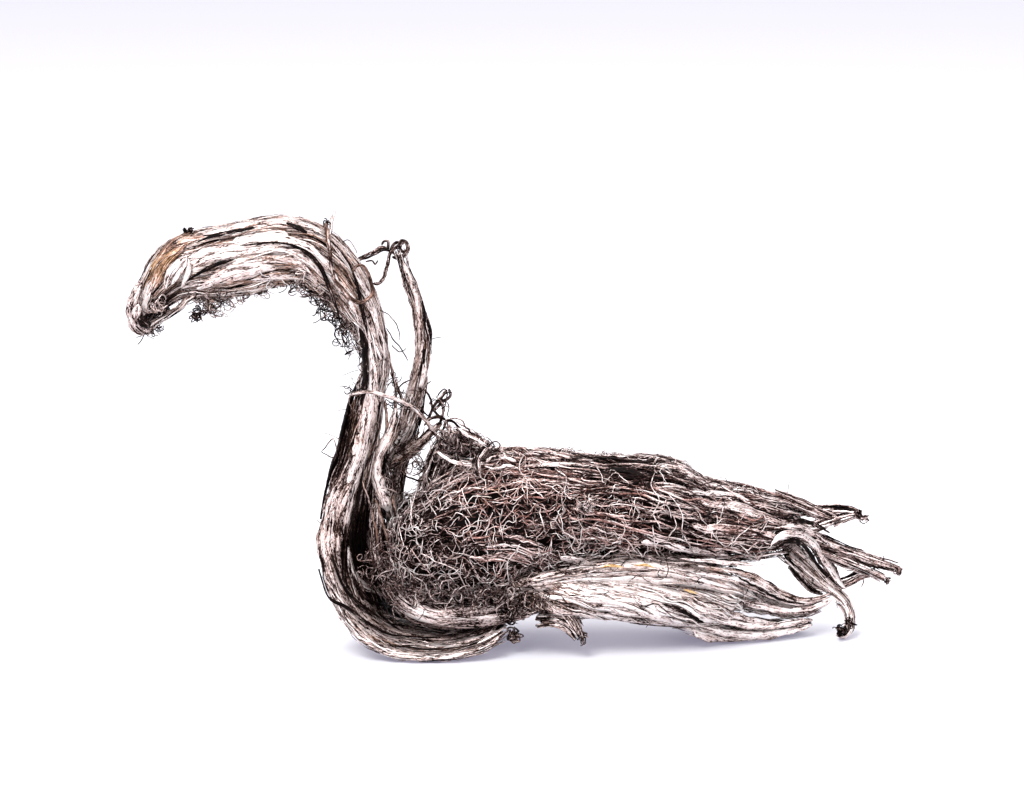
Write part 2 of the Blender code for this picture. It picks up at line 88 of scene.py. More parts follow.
BACK_ROUTE = (
    (-16.6, 3.0, 57.2, 0.8, 0.8, 0),
    (-16.1, 3.0, 55.8, 0.7, 0.8, 0),
    (-15.2, 3.0, 52.8, 0.8, 0.9, 0),
    (-13.8, 3.0, 48.4, 1.0, 1.1, 0),
    (-13.1, 3.0, 43.3, 1.2, 1.3, 0),
    (-13.8, 3.0, 38.2, 1.2, 1.4, 0),
    (-14.8, 3.0, 34.3, 1.3, 1.4, 0),
    (-16.2, 2.6, 30.6, 1.5, 1.6, 0),
    (-18.4, 2.2, 27.4, 1.6, 1.7, 0),
    (-19.2, 2.0, 24.6, 1.5, 1.7, 0),
    (-18.2, 1.6, 20.6, 1.7, 1.8, 0),
    (-16.8, 1.2, 16.6, 1.4, 1.8, 0),
)
BODY_ROUTE = (
    (-17.8, -1.0, 12.6, 3.5, 5.5, 0),
    (-15.4, -0.8, 13.4, 6.6, 7.8, 0),
    (-10.7, -0.5, 15.4, 9.2, 10.2, 0),
    (-5.0, 0.0, 17.5, 11.2, 11.6, 0),
    (3.6, 0.5, 19.3, 9.4, 12.0, 0),
    (12.1, 1.0, 19.6, 8.0, 12.0, 0),
    (20.7, 2.0, 19.5, 7.8, 11.6, 0),
    (26.4, 3.0, 17.9, 6.3, 10.4, 0),
    (34.0, 4.6, 16.7, 5.3, 8.6, 0),
    (39.0, 6.0, 15.9, 4.2, 6.2, 0),
    (41.2, 6.4, 15.6, 1.8, 3.0, 0),
)
LOWER_ROUTE = (
    (2.6, -4.0, 7.6, 3.0, 5.0, 0),
    (6.0, -3.8, 8.5, 4.2, 6.4, 0),
    (12.1, -3.0, 8.9, 4.1, 7.4, 0),
    (20.7, -0.8, 7.8, 4.0, 8.2, 0),
    (27.0, 1.2, 6.6, 3.6, 7.6, 0),
    (31.5, 2.8, 6.2, 2.4, 6.0, 0),
)
UPPER_FORK_ROUTE = (
    (26.0, 1.6, 7.6, 2.6, 6.6, 0),
    (31.0, 3.4, 6.8, 2.2, 5.6, 0),
    (36.4, 4.8, 4.9, 1.6, 4.2, 0),
    (40.0, 5.0, 3.8, 1.3, 3.1, 0),
    (42.9, 5.0, 3.9, 1.2, 2.3, 0),
    (45.2, 5.0, 5.0, 1.0, 1.6, 0),
)
LOWER_FORK_ROUTE = (
    (22.0, 0.0, 4.6, 2.0, 6.2, 0),
    (26.4, 2.4, 2.8, 1.6, 5.8, 0),
    (31.0, 3.8, 1.4, 1.3, 5.2, 0),
    (35.0, 4.5, 0.9, 1.2, 4.4, 0),
    (39.6, 5.0, 1.2, 0.9, 2.8, 0),
    (43.4, 5.2, 1.7, 0.7, 1.2, 0),
)

# Single wires and forks, each a list of x, y, z and radius in mm.
JAW = (
    (-43.0, -4.5, 52.8, 0.6),
    (-45.7, -5.0, 52.0, 0.5),
    (-47.3, -5.2, 50.5, 0.4),
    (-48.9, -5.0, 49.3, 0.4),
    (-50.8, -4.6, 48.1, 0.5),
    (-52.2, -4.0, 46.8, 0.5),
    (-52.6, -3.6, 45.8, 0.4),
)
REAR_FORK = (
    (-13.3, 4.0, 39.8, 0.9),
    (-13.9, 4.8, 35.4, 1.1),
    (-14.8, 5.0, 31.0, 1.2),
    (-16.4, 4.6, 26.4, 1.1),
    (-17.0, 3.8, 21.6, 1.0),
    (-16.4, 3.0, 17.6, 0.9),
)
BRANCH = (
    (-18.4, 1.6, 26.0, 0.7),
    (-15.4, 0.6, 28.0, 0.8),
    (-12.6, -0.2, 30.6, 0.7),
    (-10.4, -0.8, 33.0, 0.6),
)
FOOT = (
    (5.4, -6.6, 8.4, 1.5),
    (7.6, -8.2, 6.4, 1.3),
    (8.8, -8.8, 4.6, 1.1),
    (9.4, -9.0, 3.3, 1.1),
)
FOOT_ROOT = ((3.4, -7.4, 5.4, 1.0), (5.6, -8.4, 5.6, 0.9), (7.4, -8.8, 5.0, 0.9), (9.0, -9.0, 3.4, 0.9))
UPPER_TAIL = (
    ((37.6, 8.0, 20.2, 0.8), (41.4, 8.0, 18.6, 0.9), (45.0, 8.0, 17.0, 0.9), (47.1, 8.0, 16.3, 0.7)),
    ((38.6, 8.8, 17.2, 0.9), (43.6, 8.8, 17.6, 0.7), (47.4, 8.4, 17.8, 0.7), (49.3, 8.0, 17.6, 0.6),
        (50.1, 7.8, 17.0, 0.5), (50.3, 7.8, 16.1, 0.4)),
    ((46.2, 7.8, 16.2, 0.7), (48.1, 7.8, 16.8, 0.6), (49.9, 7.8, 17.3, 0.4)),
    ((38.6, 8.2, 16.4, 0.9), (42.9, 8.0, 15.3, 0.8), (45.0, 7.8, 15.9, 0.8), (46.9, 7.8, 16.5, 0.7)),
)
MIDDLE_TAIL = (
    ((38.6, 6.4, 14.8, 0.9), (41.6, 6.4, 14.3, 0.9), (44.4, 6.4, 13.6, 1.0), (47.9, 6.4, 12.2, 1.0),
        (51.6, 6.4, 10.8, 1.0), (54.6, 6.3, 9.8, 1.0), (56.2, 6.2, 9.4, 0.9)),
    ((43.4, 6.0, 12.4, 0.7), (45.3, 5.8, 11.7, 0.8), (48.6, 5.8, 10.5, 0.8), (51.9, 5.8, 9.1, 0.8),
        (54.2, 6.0, 7.9, 0.7)),
    ((46.2, 7.2, 6.4, 0.7), (48.6, 7.0, 7.4, 0.7), (50.4, 6.8, 8.4, 0.7), (52.4, 6.4, 9.0, 0.8)),
    ((38.6, 6.6, 14.0, 0.9), (42.6, 6.6, 13.7, 0.8), (44.1, 6.8, 12.2, 0.8), (45.4, 7.0, 10.1, 0.8),
        (46.6, 7.2, 8.0, 0.8), (47.0, 7.2, 6.6, 0.7)),
)
CURLED_TAIL = (
    ((38.6, 3.6, 12.8, 1.0), (42.3, 4.2, 9.7, 1.0), (44.4, 4.5, 7.8, 1.0), (46.6, 4.8, 6.1, 1.0),
        (47.9, 4.6, 4.9, 0.9), (48.6, 3.8, 3.5, 0.8), (48.6, 2.7, 1.9, 0.8), (47.7, 1.9, 0.7, 0.7),
        (46.4, 1.5, 0.9, 0.6)),
    ((38.6, 4.2, 14.2, 0.9), (40.9, 4.4, 12.4, 0.9), (43.6, 4.8, 9.8, 0.8), (45.7, 5.0, 7.6, 0.8),
        (47.1, 5.1, 6.0, 0.8)),
    ((40.2, 4.2, 10.6, 0.7), (41.6, 4.4, 8.8, 0.7), (43.2, 4.6, 7.2, 0.6), (44.9, 4.8, 6.6, 0.6)),
)

# Fillers, in the ropes' columns: the strands inside the base loop, painted dark as the shade in its recess,
# those in the creases between the body and the bundle under it, at the front and at the back, and those
# under the shoulder.
HOLLOW_ROUTE = (
    (-18.9, 0.6, 30.0, 1.0, 1.8, 0),
    (-19.4, 0.2, 25.0, 1.5, 2.8, 0),
    (-20.0, 0.2, 19.0, 1.9, 3.8, 0),
    (-19.4, 0.4, 13.0, 2.5, 5.0, 0),
    (-16.8, 0.6, 8.2, 3.0, 6.8, 0),
    (-12.6, 0.6, 5.9, 3.4, 8.0, 0),
    (-7.0, -0.2, 5.6, 3.4, 8.0, 0),
    (-1.0, -1.2, 6.4, 2.9, 7.2, 0),
    (5.0, -2.8, 8.0, 2.6, 6.2, 0),
)
FRONT_CREASE_ROUTE = (
    (-3.0, -7.0, 9.4, 1.6, 1.8, 0),
    (4.0, -7.4, 11.2, 2.4, 2.4, 0),
    (12.0, -6.9, 12.6, 2.6, 2.6, 0),
    (20.7, -5.6, 12.3, 2.9, 3.2, 0),
    (27.0, -3.4, 10.8, 2.4, 3.4, 0),
    (31.5, -0.8, 8.8, 1.5, 3.0, 0),
    (35.0, 1.4, 6.9, 0.8, 2.4, 0),
)
BACK_CREASE_ROUTE = (
    (-3.0, 5.0, 8.6, 1.8, 2.4, 0),
    (4.0, 5.4, 10.4, 2.6, 3.2, 0),
    (12.0, 6.2, 11.4, 2.8, 3.6, 0),
    (20.7, 7.4, 11.6, 2.8, 3.4, 0),
    (27.0, 7.6, 11.0, 2.2, 3.0, 0),
    (32.5, 7.0, 10.6, 1.0, 2.2, 0),
)
SHOULDER_ROUTE = (
    (-12.6, -0.2, 20.0, 2.4, 2.8, 0),
    (-10.9, -0.5, 25.2, 2.6, 2.8, 0),
    (-8.8, -0.8, 29.3, 2.9, 2.5, 0),
    (-5.6, -0.9, 28.5, 2.7, 2.3, 0),
    (-2.4, -0.8, 26.6, 2.4, 2.0, 0),
)

# Bands laid on the neck's rope: tone, warmth, and stations of pixel u and v and half width in mm.
NECK_BANDS_PX = (
    (0.66, 0.1, ((203, 235, 0.6), (236, 228, 0.8), (270, 223, 0.9), (300, 225, 0.9), (325, 236, 0.9),
        (345, 258, 0.8), (360, 282, 0.8), (373, 312, 0.9), (380, 345, 1.0), (384, 380, 1.1),
        (385, 415, 1.0), (380, 446, 0.7))),
    (0.8, 0.1, ((232, 243, 0.6), (257, 238, 0.9), (276, 236, 0.9), (288, 237, 0.6))),
    (0.66, 0.25, ((184, 262, 0.4), (204, 252, 0.7), (232, 248, 0.7), (262, 243, 0.7), (300, 245, 0.7),
        (321, 258, 0.6), (333, 273, 0.5), (341, 292, 0.4))),
    (0.66, 0.2, ((190, 270, 0.4), (210, 259, 0.6), (243, 252, 0.6), (283, 250, 0.6), (303, 258, 0.6),
        (320, 274, 0.5), (334, 298, 0.5), (348, 327, 0.5), (357, 360, 0.5))),
    (0.46, 1.6, ((192, 231, 0.6), (177, 241, 0.9), (162, 257, 1.0), (151, 275, 0.8), (142, 292, 0.4))),
    (0.54, 1.54, ((186, 243, 0.5), (172, 256, 0.8), (160, 272, 0.8), (152, 288, 0.6))),
    (0.76, 0.35, ((156, 272, 0.4), (149, 288, 0.8), (144, 303, 0.9), (141, 316, 0.6))),
    (0.68, 0.25, ((196, 288, 0.5), (214, 280, 1.0), (238, 272, 1.2), (262, 268, 0.9), (276, 268, 0.5))),
    (0.6, 0.4, ((212, 272, 0.4), (236, 265, 0.5), (264, 260, 0.7), (290, 262, 0.7), (312, 276, 0.5),
        (327, 298, 0.4))),
    (0.62, 0.3, ((252, 280, 0.6), (276, 276, 0.8), (298, 280, 0.7), (316, 294, 0.5))),
    (0.66, 0.2, ((345, 290, 0.5), (358, 312, 0.8), (366, 340, 0.9), (371, 370, 1.0), (369, 405, 1.4),
        (364, 440, 1.5), (356, 470, 1.3), (349, 505, 0.9), (344, 535, 0.5))),
    (0.46, 0.3, ((360, 458, 0.6), (344, 482, 1.3), (333, 510, 1.6), (329, 540, 1.6), (333, 570, 1.4),
        (345, 597, 1.2), (364, 617, 1.1), (392, 631, 1.0), (424, 637, 1.0), (460, 636, 1.0),
        (490, 627, 0.8), (506, 619, 0.5))),
    (0.54, 0.15, ((322, 545, 0.3), (324, 565, 0.5), (334, 592, 0.6), (353, 616, 0.6), (378, 633, 0.6),
        (408, 642, 0.6), (440, 645, 0.6), (470, 641, 0.5), (496, 629, 0.4))),
    (0.48, 1.55, ((356, 628, 0.3), (378, 640, 0.5), (404, 647, 0.6), (432, 650, 0.5), (462, 649, 0.3))),
    (0.6, 0.35, ((352, 634, 0.3), (374, 646, 0.5), (400, 655, 0.6), (434, 657, 0.6), (470, 652, 0.5),
        (499, 638, 0.3))),
    (0.68, 0.1, ((348, 545, 0.3), (350, 566, 0.5), (363, 584, 0.6), (386, 599, 0.6), (407, 608, 0.6),
        (432, 613, 0.6), (462, 614, 0.4))),
    (0.38, 0.15, ((360, 600, 0.4), (383, 615, 0.7), (410, 623, 0.8), (440, 626, 0.8), (474, 622, 0.6))),
)

# Dark slits between the neck's bands, in the same columns.
NECK_SLITS_PX = (
    (0.04, 0.0, ((198, 245, 0.12), (220, 238, 0.3), (240, 234, 0.35), (256, 231, 0.2))),
    (0.03, 0.0, ((287, 227, 0.2), (296, 230, 0.5), (306, 235, 0.2))),
    (0.05, 0.0, ((186, 280, 0.12), (200, 271, 0.25), (216, 264, 0.3), (236, 258, 0.12))),
    (0.05, 0.0, ((150, 300, 0.5), (158, 305, 1.0), (166, 310, 0.5))),
    (0.04, 0.0, ((240, 247, 0.1), (270, 243, 0.15), (298, 248, 0.2), (318, 262, 0.15), (330, 280, 0.1))),
    (0.06, 0.05, ((300, 250, 0.1), (316, 262, 0.2), (330, 284, 0.25), (340, 308, 0.2), (348, 330, 0.1))),
    (0.05, 0.0, ((330, 244, 0.1), (345, 264, 0.2), (356, 290, 0.25), (362, 312, 0.3), (368, 334, 0.15))),
    (0.02, 0.0, ((361, 326, 0.2), (367, 343, 0.6), (369, 362, 0.7), (368, 384, 0.5), (364, 404, 0.15))),
    (0.03, 0.0, ((356, 376, 0.2), (352, 402, 0.6), (346, 430, 0.9), (339, 456, 0.9), (331, 488, 0.6),
        (324, 520, 0.3))),
    (0.06, 0.0, ((352, 398, 0.1), (344, 432, 0.3), (335, 462, 0.35), (326, 500, 0.2))),
    (0.1, 0.5, ((376, 400, 0.1), (373, 425, 0.25), (368, 448, 0.3), (362, 466, 0.15))),
    (0.05, 0.0, ((360, 462, 0.1), (356, 490, 0.3), (349, 520, 0.35), (346, 548, 0.2))),
    (0.06, 0.05, ((330, 552, 0.1), (338, 580, 0.25), (352, 602, 0.3), (374, 619, 0.3), (404, 631, 0.2))),
    (0.06, 0.05, ((324, 568, 0.1), (330, 588, 0.2), (346, 610, 0.25), (370, 630, 0.25), (400, 641, 0.2),
        (440, 642, 0.1))),
    (0.05, 0.0, ((356, 592, 0.2), (376, 607, 0.3), (402, 616, 0.3), (436, 620, 0.3), (470, 618, 0.2))),
    (0.08, 0.2, ((380, 645, 0.1), (410, 652, 0.2), (444, 654, 0.2), (478, 646, 0.1))),
)

# Flat blades on the head, three of them like a leaf: pixel u and v, depth y and half width in mm.
BLADES_PX = (
    ((187, 257, -7.6, 0.2), (179, 263, -8.0, 0.5), (171, 271, -8.2, 0.62), (167, 280, -8.0, 0.5),
        (166, 289, -7.4, 0.2)),
    ((187, 258, -7.6, 0.2), (184, 266, -7.8, 0.38), (178, 275, -8.0, 0.45), (171, 285, -7.6, 0.2)),
    ((188, 259, -7.4, 0.2), (189, 268, -7.8, 0.34), (186, 277, -7.8, 0.36), (182, 288, -7.2, 0.15)),
)

# The strands of the snout and a dark patch between them, in the same columns.
SNOUT_PX = (
    ((142, 280, -6.0, 0.4), (135, 295, -6.2, 0.75), (132, 309, -6.0, 0.9), (133, 321, -5.6, 0.9),
        (138, 330, -5.2, 0.7), (146, 333, -4.8, 0.4)),
    ((139, 304, -7.0, 0.5), (137, 314, -6.8, 0.8), (139, 325, -6.2, 0.8), (146, 331, -5.6, 0.6),
        (153, 330, -5.0, 0.3)),
)
SNOUT_PATCH_PX = ((138, 317, -7.4, 0.4), (144, 322, -7.4, 0.75), (150, 327, -6.8, 0.4))

# Free wires, each a list of pixel u and v, depth y and radius in mm.
HOOK_WIRE_PX = (
    (326, 223, -4.6, 0.42), (327, 234, -6.0, 0.38), (329, 246, -7.2, 0.3), (331, 262, -7.8, 0.26),
    (334, 278, -8.0, 0.26), (343, 290, -7.8, 0.28), (352, 299, -7.6, 0.3), (360, 303, -7.2, 0.3),
    (367, 300, -6.8, 0.28), (373, 291, -6.2, 0.26), (370, 279, -6.2, 0.24), (365, 267, -6.4, 0.22),
    (359, 265, -6.6, 0.22), (354, 269, -6.6, 0.2), (353, 280, -6.2, 0.16),
)
TOP_WIRE_PX = (
    (329, 236, -6.2, 0.26), (331, 225, -4.6, 0.28), (333, 216, -3.6, 0.22), (335, 209, -3.4, 0.14),
)
KNOT_WIRES_PX = (
    ((357, 259, -0.6, 0.16), (364, 256, 0.6, 0.22), (373, 252, 1.8, 0.26), (381, 248, 2.6, 0.28),
        (388, 248, 2.8, 0.26), (388, 242, 2.4, 0.2), (384, 241, 2.6, 0.18), (382, 245, 3.0, 0.16)),
    ((358, 261, -0.4, 0.12), (366, 258, 0.8, 0.18), (375, 254, 2.0, 0.2), (383, 250, 3.0, 0.2),
        (392, 252, 3.4, 0.2), (399, 257, 3.2, 0.22), (405, 253, 2.8, 0.22), (408, 246, 2.8, 0.2)),
    ((373, 284, -4.0, 0.22), (379, 283, -2.6, 0.26), (384, 277, -0.8, 0.28), (387, 266, 1.0, 0.28),
        (389, 257, 2.2, 0.26), (393, 250, 2.8, 0.26), (399, 245, 2.6, 0.26), (405, 242, 2.8, 0.22)),
    ((392, 257, 3.2, 0.28), (400, 258, 3.0, 0.32), (407, 252, 3.0, 0.32), (407, 244, 3.0, 0.28),
        (402, 241, 2.6, 0.26), (399, 246, 2.4, 0.24), (402, 251, 2.8, 0.22), (406, 250, 3.4, 0.16)),
    ((390, 252, 3.8, 0.2), (393, 245, 3.6, 0.24), (398, 242, 3.2, 0.24), (401, 246, 2.8, 0.2),
        (396, 249, 2.6, 0.16)),
    ((366, 262, 0.6, 0.1), (372, 261, 1.2, 0.14), (375, 264, 1.6, 0.12), (378, 260, 2.0, 0.08)),
)
HAIRS_PX = (
    ((342, 243, -5.0, 0.06), (348, 240, -5.2, 0.07), (354, 246, -5.2, 0.07), (357, 254, -4.4, 0.06)),
    ((378, 309, -4.0, 0.07), (390, 316, -2.0, 0.08), (398, 328, -0.6, 0.08), (400, 341, 0.4, 0.06)),
    ((386, 328, -3.0, 0.09), (394, 340, -1.6, 0.1), (402, 350, 0.0, 0.1), (408, 361, 1.2, 0.07)),
    ((392, 345, -2.0, 0.08), (399, 352, -1.0, 0.09), (406, 348, 0.4, 0.06)),
    ((321, 452, -4.6, 0.08), (327, 445, -5.0, 0.1), (333, 439, -5.2, 0.1), (336, 447, -5.4, 0.1),
        (338, 457, -5.6, 0.1)),
    ((321, 452, -4.6, 0.07), (327, 455, -5.0, 0.09), (335, 458, -5.6, 0.1)),
    ((350, 395, -6.4, 0.1), (349, 402, -5.6, 0.1), (352, 409, -5.0, 0.08)),
)
CROSS_WIRE_PX = (
    (349, 395, -6.6, 0.18), (362, 392, -7.2, 0.22), (376, 393, -7.4, 0.28), (392, 398, -6.6, 0.3),
    (408, 405, -5.0, 0.32), (421, 415, -3.6, 0.3), (431, 428, -2.4, 0.32), (440, 440, -1.6, 0.34),
)
DARK_CURLS_PX = (
    ((426, 424, -0.6, 0.24), (433, 408, 0.2, 0.24), (440, 398, 0.6, 0.26), (447, 390, 0.8, 0.2)),
    ((434, 411, 0.0, 0.22), (442, 402, 0.8, 0.26), (450, 396, 1.2, 0.24), (449, 389, 1.0, 0.16)),
    ((424, 388, 1.2, 0.14), (430, 398, 1.0, 0.18), (434, 410, 0.4, 0.2), (442, 420, 0.0, 0.18)),
    ((440, 398, 0.6, 0.14), (443, 410, 0.4, 0.18), (441, 420, 0.0, 0.22), (436, 432, -0.4, 0.24)),
    ((420, 432, -1.0, 0.14), (412, 440, -1.4, 0.18), (404, 446, -1.8, 0.2), (394, 452, -1.6, 0.2)),
    ((446, 420, -0.8, 0.22), (438, 417, -1.0, 0.28), (430, 419, -0.8, 0.24), (424, 426, -0.6, 0.16)),
    ((418, 454, 0.0, 0.1), (424, 464, -0.6, 0.12), (421, 472, -1.0, 0.12), (412, 476, -1.2, 0.1)),
    ((400, 470, -1.6, 0.12), (410, 478, -1.8, 0.14), (424, 480, -1.6, 0.14), (436, 470, -1.2, 0.12)),
    ((404, 400, 0.6, 0.1), (398, 392, 0.4, 0.12), (403, 383, 0.2, 0.12), (412, 380, 0.6, 0.08)),
    ((424, 388, 1.0, 0.1), (419, 396, 0.8, 0.12), (421, 408, 0.2, 0.12), (428, 416, -0.2, 0.1)),
)
NECK_SIDE_WIRES_PX = (
    ((386, 330, -1.0, 0.2), (388, 352, -0.6, 0.22), (393, 374, -0.4, 0.22), (396, 398, -0.4, 0.22),
        (391, 425, -0.6, 0.24), (384, 452, -0.8, 0.24)),
    ((390, 372, 0.6, 0.16), (398, 388, 0.6, 0.2), (403, 405, 0.4, 0.22), (398, 428, 0.0, 0.22),
        (389, 450, -0.4, 0.2)),
    ((385, 400, -2.0, 0.22), (387, 425, -1.8, 0.26), (384, 450, -1.6, 0.26), (378, 478, -1.6, 0.24),
        (377, 510, -1.6, 0.22)),
    ((362, 480, -6.0, 0.12), (370, 505, -4.6, 0.16), (376, 530, -3.6, 0.16), (380, 560, -3.0, 0.14)),
    ((376, 500, -2.6, 0.18), (382, 520, -2.6, 0.22), (390, 545, -2.6, 0.22), (402, 562, -3.0, 0.16)),
    ((388, 480, -1.6, 0.2), (394, 505, -2.0, 0.24), (398, 530, -2.4, 0.24), (404, 552, -2.8, 0.18)),
)
KNEE_BAND_PX = (
    (396, 408, -1.2, 0.45), (392, 428, -1.6, 0.75), (382, 448, -2.2, 0.85), (376, 462, -2.6, 0.75),
    (377, 478, -2.8, 0.95), (383, 496, -2.6, 1.0), (388, 512, -2.0, 0.45),
)

# Tight curls: pixel u and v, depth y, spread in mm, how many, radius in mm, tone and warmth.
NECK_TANGLES_PX = (
    (157, 306, -7.0, 1.0, 34, 0.07, 0.5, 0.35),
    (150, 332, -5.0, 0.6, 16, 0.08, 0.5, 0.1),
    (158, 329, -4.8, 0.5, 12, 0.07, 0.25, 0.1),
    (197, 316, -4.6, 0.7, 26, 0.11, 0.14, 0.05),
    (209, 305, -4.6, 1.1, 36, 0.08, 0.48, 0.55),
    (224, 299, -4.4, 1.0, 26, 0.07, 0.5, 0.5),
    (220, 314, -4.0, 0.8, 8, 0.06, 0.45, 0.6),
    (241, 293, -4.2, 0.8, 18, 0.07, 0.4, 0.4),
    (262, 291, -4.2, 0.7, 14, 0.07, 0.4, 0.4),
    (185, 231, -3.6, 0.22, 22, 0.1, 0.05, 0.05),
    (191, 230, -3.6, 0.24, 22, 0.1, 0.05, 0.05),
    (326, 224, -4.4, 0.35, 14, 0.08, 0.1, 0.1),
    (298, 284, -5.0, 1.0, 20, 0.07, 0.45, 0.6),
    (312, 292, -5.0, 1.4, 18, 0.08, 0.22, 0.2),
    (325, 306, -4.6, 1.5, 20, 0.08, 0.18, 0.15),
    (335, 319, -4.4, 1.5, 20, 0.08, 0.18, 0.15),
    (344, 333, -4.2, 1.3, 18, 0.08, 0.18, 0.15),
    (351, 350, -4.0, 0.9, 8, 0.07, 0.2, 0.1),
    (352, 386, -3.6, 0.8, 6, 0.06, 0.2, 0.1),
)
BACK_TANGLES_PX = (
    (396, 384, 1.0, 1.4, 9, 0.07, 0.25, 0.3),
    (402, 402, 0.6, 1.6, 12, 0.07, 0.25, 0.3),
    (396, 440, 0.2, 1.6, 12, 0.07, 0.25, 0.3),
    (412, 452, -0.6, 2.0, 14, 0.08, 0.3, 0.4),
    (441, 402, 0.6, 1.2, 9, 0.09, 0.2, 0.3),
    (422, 468, -0.6, 1.6, 14, 0.07, 0.3, 0.2),
    (390, 484, -2.2, 1.6, 20, 0.08, 0.3, 0.2),
)

# Bands and slits laid on the back strand, in the columns of the neck's bands.
BACK_BANDS_PX = (
    (0.58, 0.4, ((403, 262, 0.3), (413, 288, 0.5), (419, 318, 0.6), (420, 348, 0.7), (416, 375, 0.7),
        (409, 400, 0.7), (400, 430, 0.6))),
    (0.04, 0.0, ((408, 268, 0.1), (418, 294, 0.15), (424, 322, 0.3), (424, 352, 0.3), (420, 378, 0.25))),
    (0.72, 0.1, ((424, 346, 0.3), (424, 366, 0.5), (420, 388, 0.4))),
    (0.04, 0.0, ((427, 318, 0.3), (430, 336, 0.5), (430, 354, 0.3))),
)

# More curls, in the same columns as the neck's.
BODY_TANGLES_PX = (
    (452, 436, -3.4, 1.6, 26, 0.11, 0.55, 0.25),
    (468, 444, -3.2, 1.5, 22, 0.1, 0.48, 0.4),
    (486, 452, -3.4, 1.2, 18, 0.1, 0.5, 0.25),
    (442, 452, -2.8, 1.2, 16, 0.09, 0.46, 0.3),
    (385, 560, -5.0, 2.4, 36, 0.07, 0.46, 0.4),
    (400, 582, -6.6, 2.4, 36, 0.07, 0.46, 0.3),
    (424, 590, -8.0, 2.0, 26, 0.07, 0.48, 0.2),
    (450, 594, -8.6, 1.8, 22, 0.07, 0.48, 0.2),
    (478, 598, -8.8, 1.7, 22, 0.07, 0.48, 0.3),
    (503, 600, -9.4, 1.6, 40, 0.08, 0.38, 0.25),
    (586, 506, -11.4, 1.0, 30, 0.07, 0.6, 0.3),
)

# Flat wires: tone, warmth, and stations of pixel u and v, depth y and half width in mm.
SHOULDER_WIRES_PX = (
    (0.56, 0.05, ((437, 452, -4.6, 0.15), (446, 458, -5.2, 0.28), (458, 463, -5.8, 0.3),
        (470, 465, -6.4, 0.28), (482, 462, -7.0, 0.2))),
    (0.56, 0.05, ((486, 462, -7.4, 0.15), (494, 458, -7.0, 0.34), (505, 457, -6.8, 0.32),
        (516, 462, -7.4, 0.12))),
    (0.54, 0.1, ((484, 466, -8.0, 0.15), (496, 468, -8.4, 0.3), (508, 466, -8.2, 0.26),
        (518, 468, -8.4, 0.1))),
    (0.1, 0.0, ((489, 446, -4.6, 0.2), (480, 452, -5.8, 0.4), (475, 463, -7.2, 0.5),
        (478, 476, -8.6, 0.3))),
    (0.5, 0.1, ((492, 446, -4.8, 0.15), (484, 452, -6.2, 0.22), (479, 463, -7.8, 0.25),
        (481, 478, -9.2, 0.15))),
    (0.38, 0.8, ((455, 421, -3.0, 0.1), (464, 426, -3.2, 0.14), (474, 434, -3.4, 0.14),
        (490, 444, -3.6, 0.12))),
    (0.08, 0.1, ((442, 432, -3.0, 0.12), (447, 421, -3.2, 0.22), (455, 423, -3.4, 0.2),
        (463, 432, -3.4, 0.12))),
    (0.72, 0.1, ((458, 428, -4.2, 0.12), (466, 434, -4.6, 0.28), (476, 440, -4.8, 0.3),
        (488, 447, -5.0, 0.15))),
)

# Curls on the lower bundle, in the same columns as the neck's.
LOWER_TANGLES_PX = (
    (508, 616, -8.6, 0.9, 40, 0.1, 0.28, 0.2),
    (513, 634, -6.0, 0.7, 24, 0.13, 0.34, 0.4),
    (524, 604, -9.4, 1.2, 44, 0.09, 0.35, 0.2),
    (540, 600, -9.8, 1.2, 40, 0.08, 0.5, 0.6),
    (583, 637, -9.0, 0.5, 26, 0.07, 0.35, 0.2),
)

# Flat wires of the strand that hooks down at the rear, in the shoulder wires' columns.
HOOKED_STRAND_PX = (
    (0.74, 0.05, ((771, 545, -3.4, 0.2), (779, 537, -3.2, 0.5), (791, 533, -2.6, 0.6),
        (803, 535, -0.8, 0.6), (813, 543, 1.0, 0.6), (821, 555, 2.2, 0.6), (829, 568, 3.2, 0.6),
        (838, 580, 3.8, 0.5), (846, 590, 4.2, 0.2))),
    (0.05, 0.0, ((774, 550, -3.2, 0.1), (783, 543, -3.0, 0.3), (794, 541, -2.0, 0.4),
        (803, 545, -0.4, 0.4), (811, 555, 1.2, 0.4), (819, 567, 2.4, 0.3), (828, 579, 3.2, 0.1))),
    (0.56, 0.1, ((774, 528, -3.6, 0.2), (792, 526, -2.8, 0.4), (808, 530, -0.4, 0.4),
        (822, 539, 1.6, 0.4), (836, 549, 3.2, 0.2))),
    (0.08, 0.1, ((786, 522, -3.2, 0.1), (803, 521, -1.6, 0.3), (818, 526, 0.6, 0.3),
        (830, 533, 2.4, 0.1))),
)
# Curls at the tails' tips.
TIP_TANGLES_PX = {
    "upper_tail": (
        (858, 513, 6.8, 0.4, 18, 0.12, 0.2, 0.2), (866, 518, 6.8, 0.35, 9, 0.1, 0.4, 0.6),
    ),
    "middle_tail": (
        (899, 571, 5.6, 0.38, 14, 0.12, 0.34, 0.4), (887, 581, 5.4, 0.35, 12, 0.12, 0.24, 0.2),
        (882, 561, 5.6, 0.4, 8, 0.07, 0.25, 0.3),
    ),
    "curled_tail": (
        (841, 630, 0.8, 0.5, 34, 0.11, 0.08, 0.05), (850, 622, 1.2, 0.5, 26, 0.09, 0.2, 0.1),
    ),
}

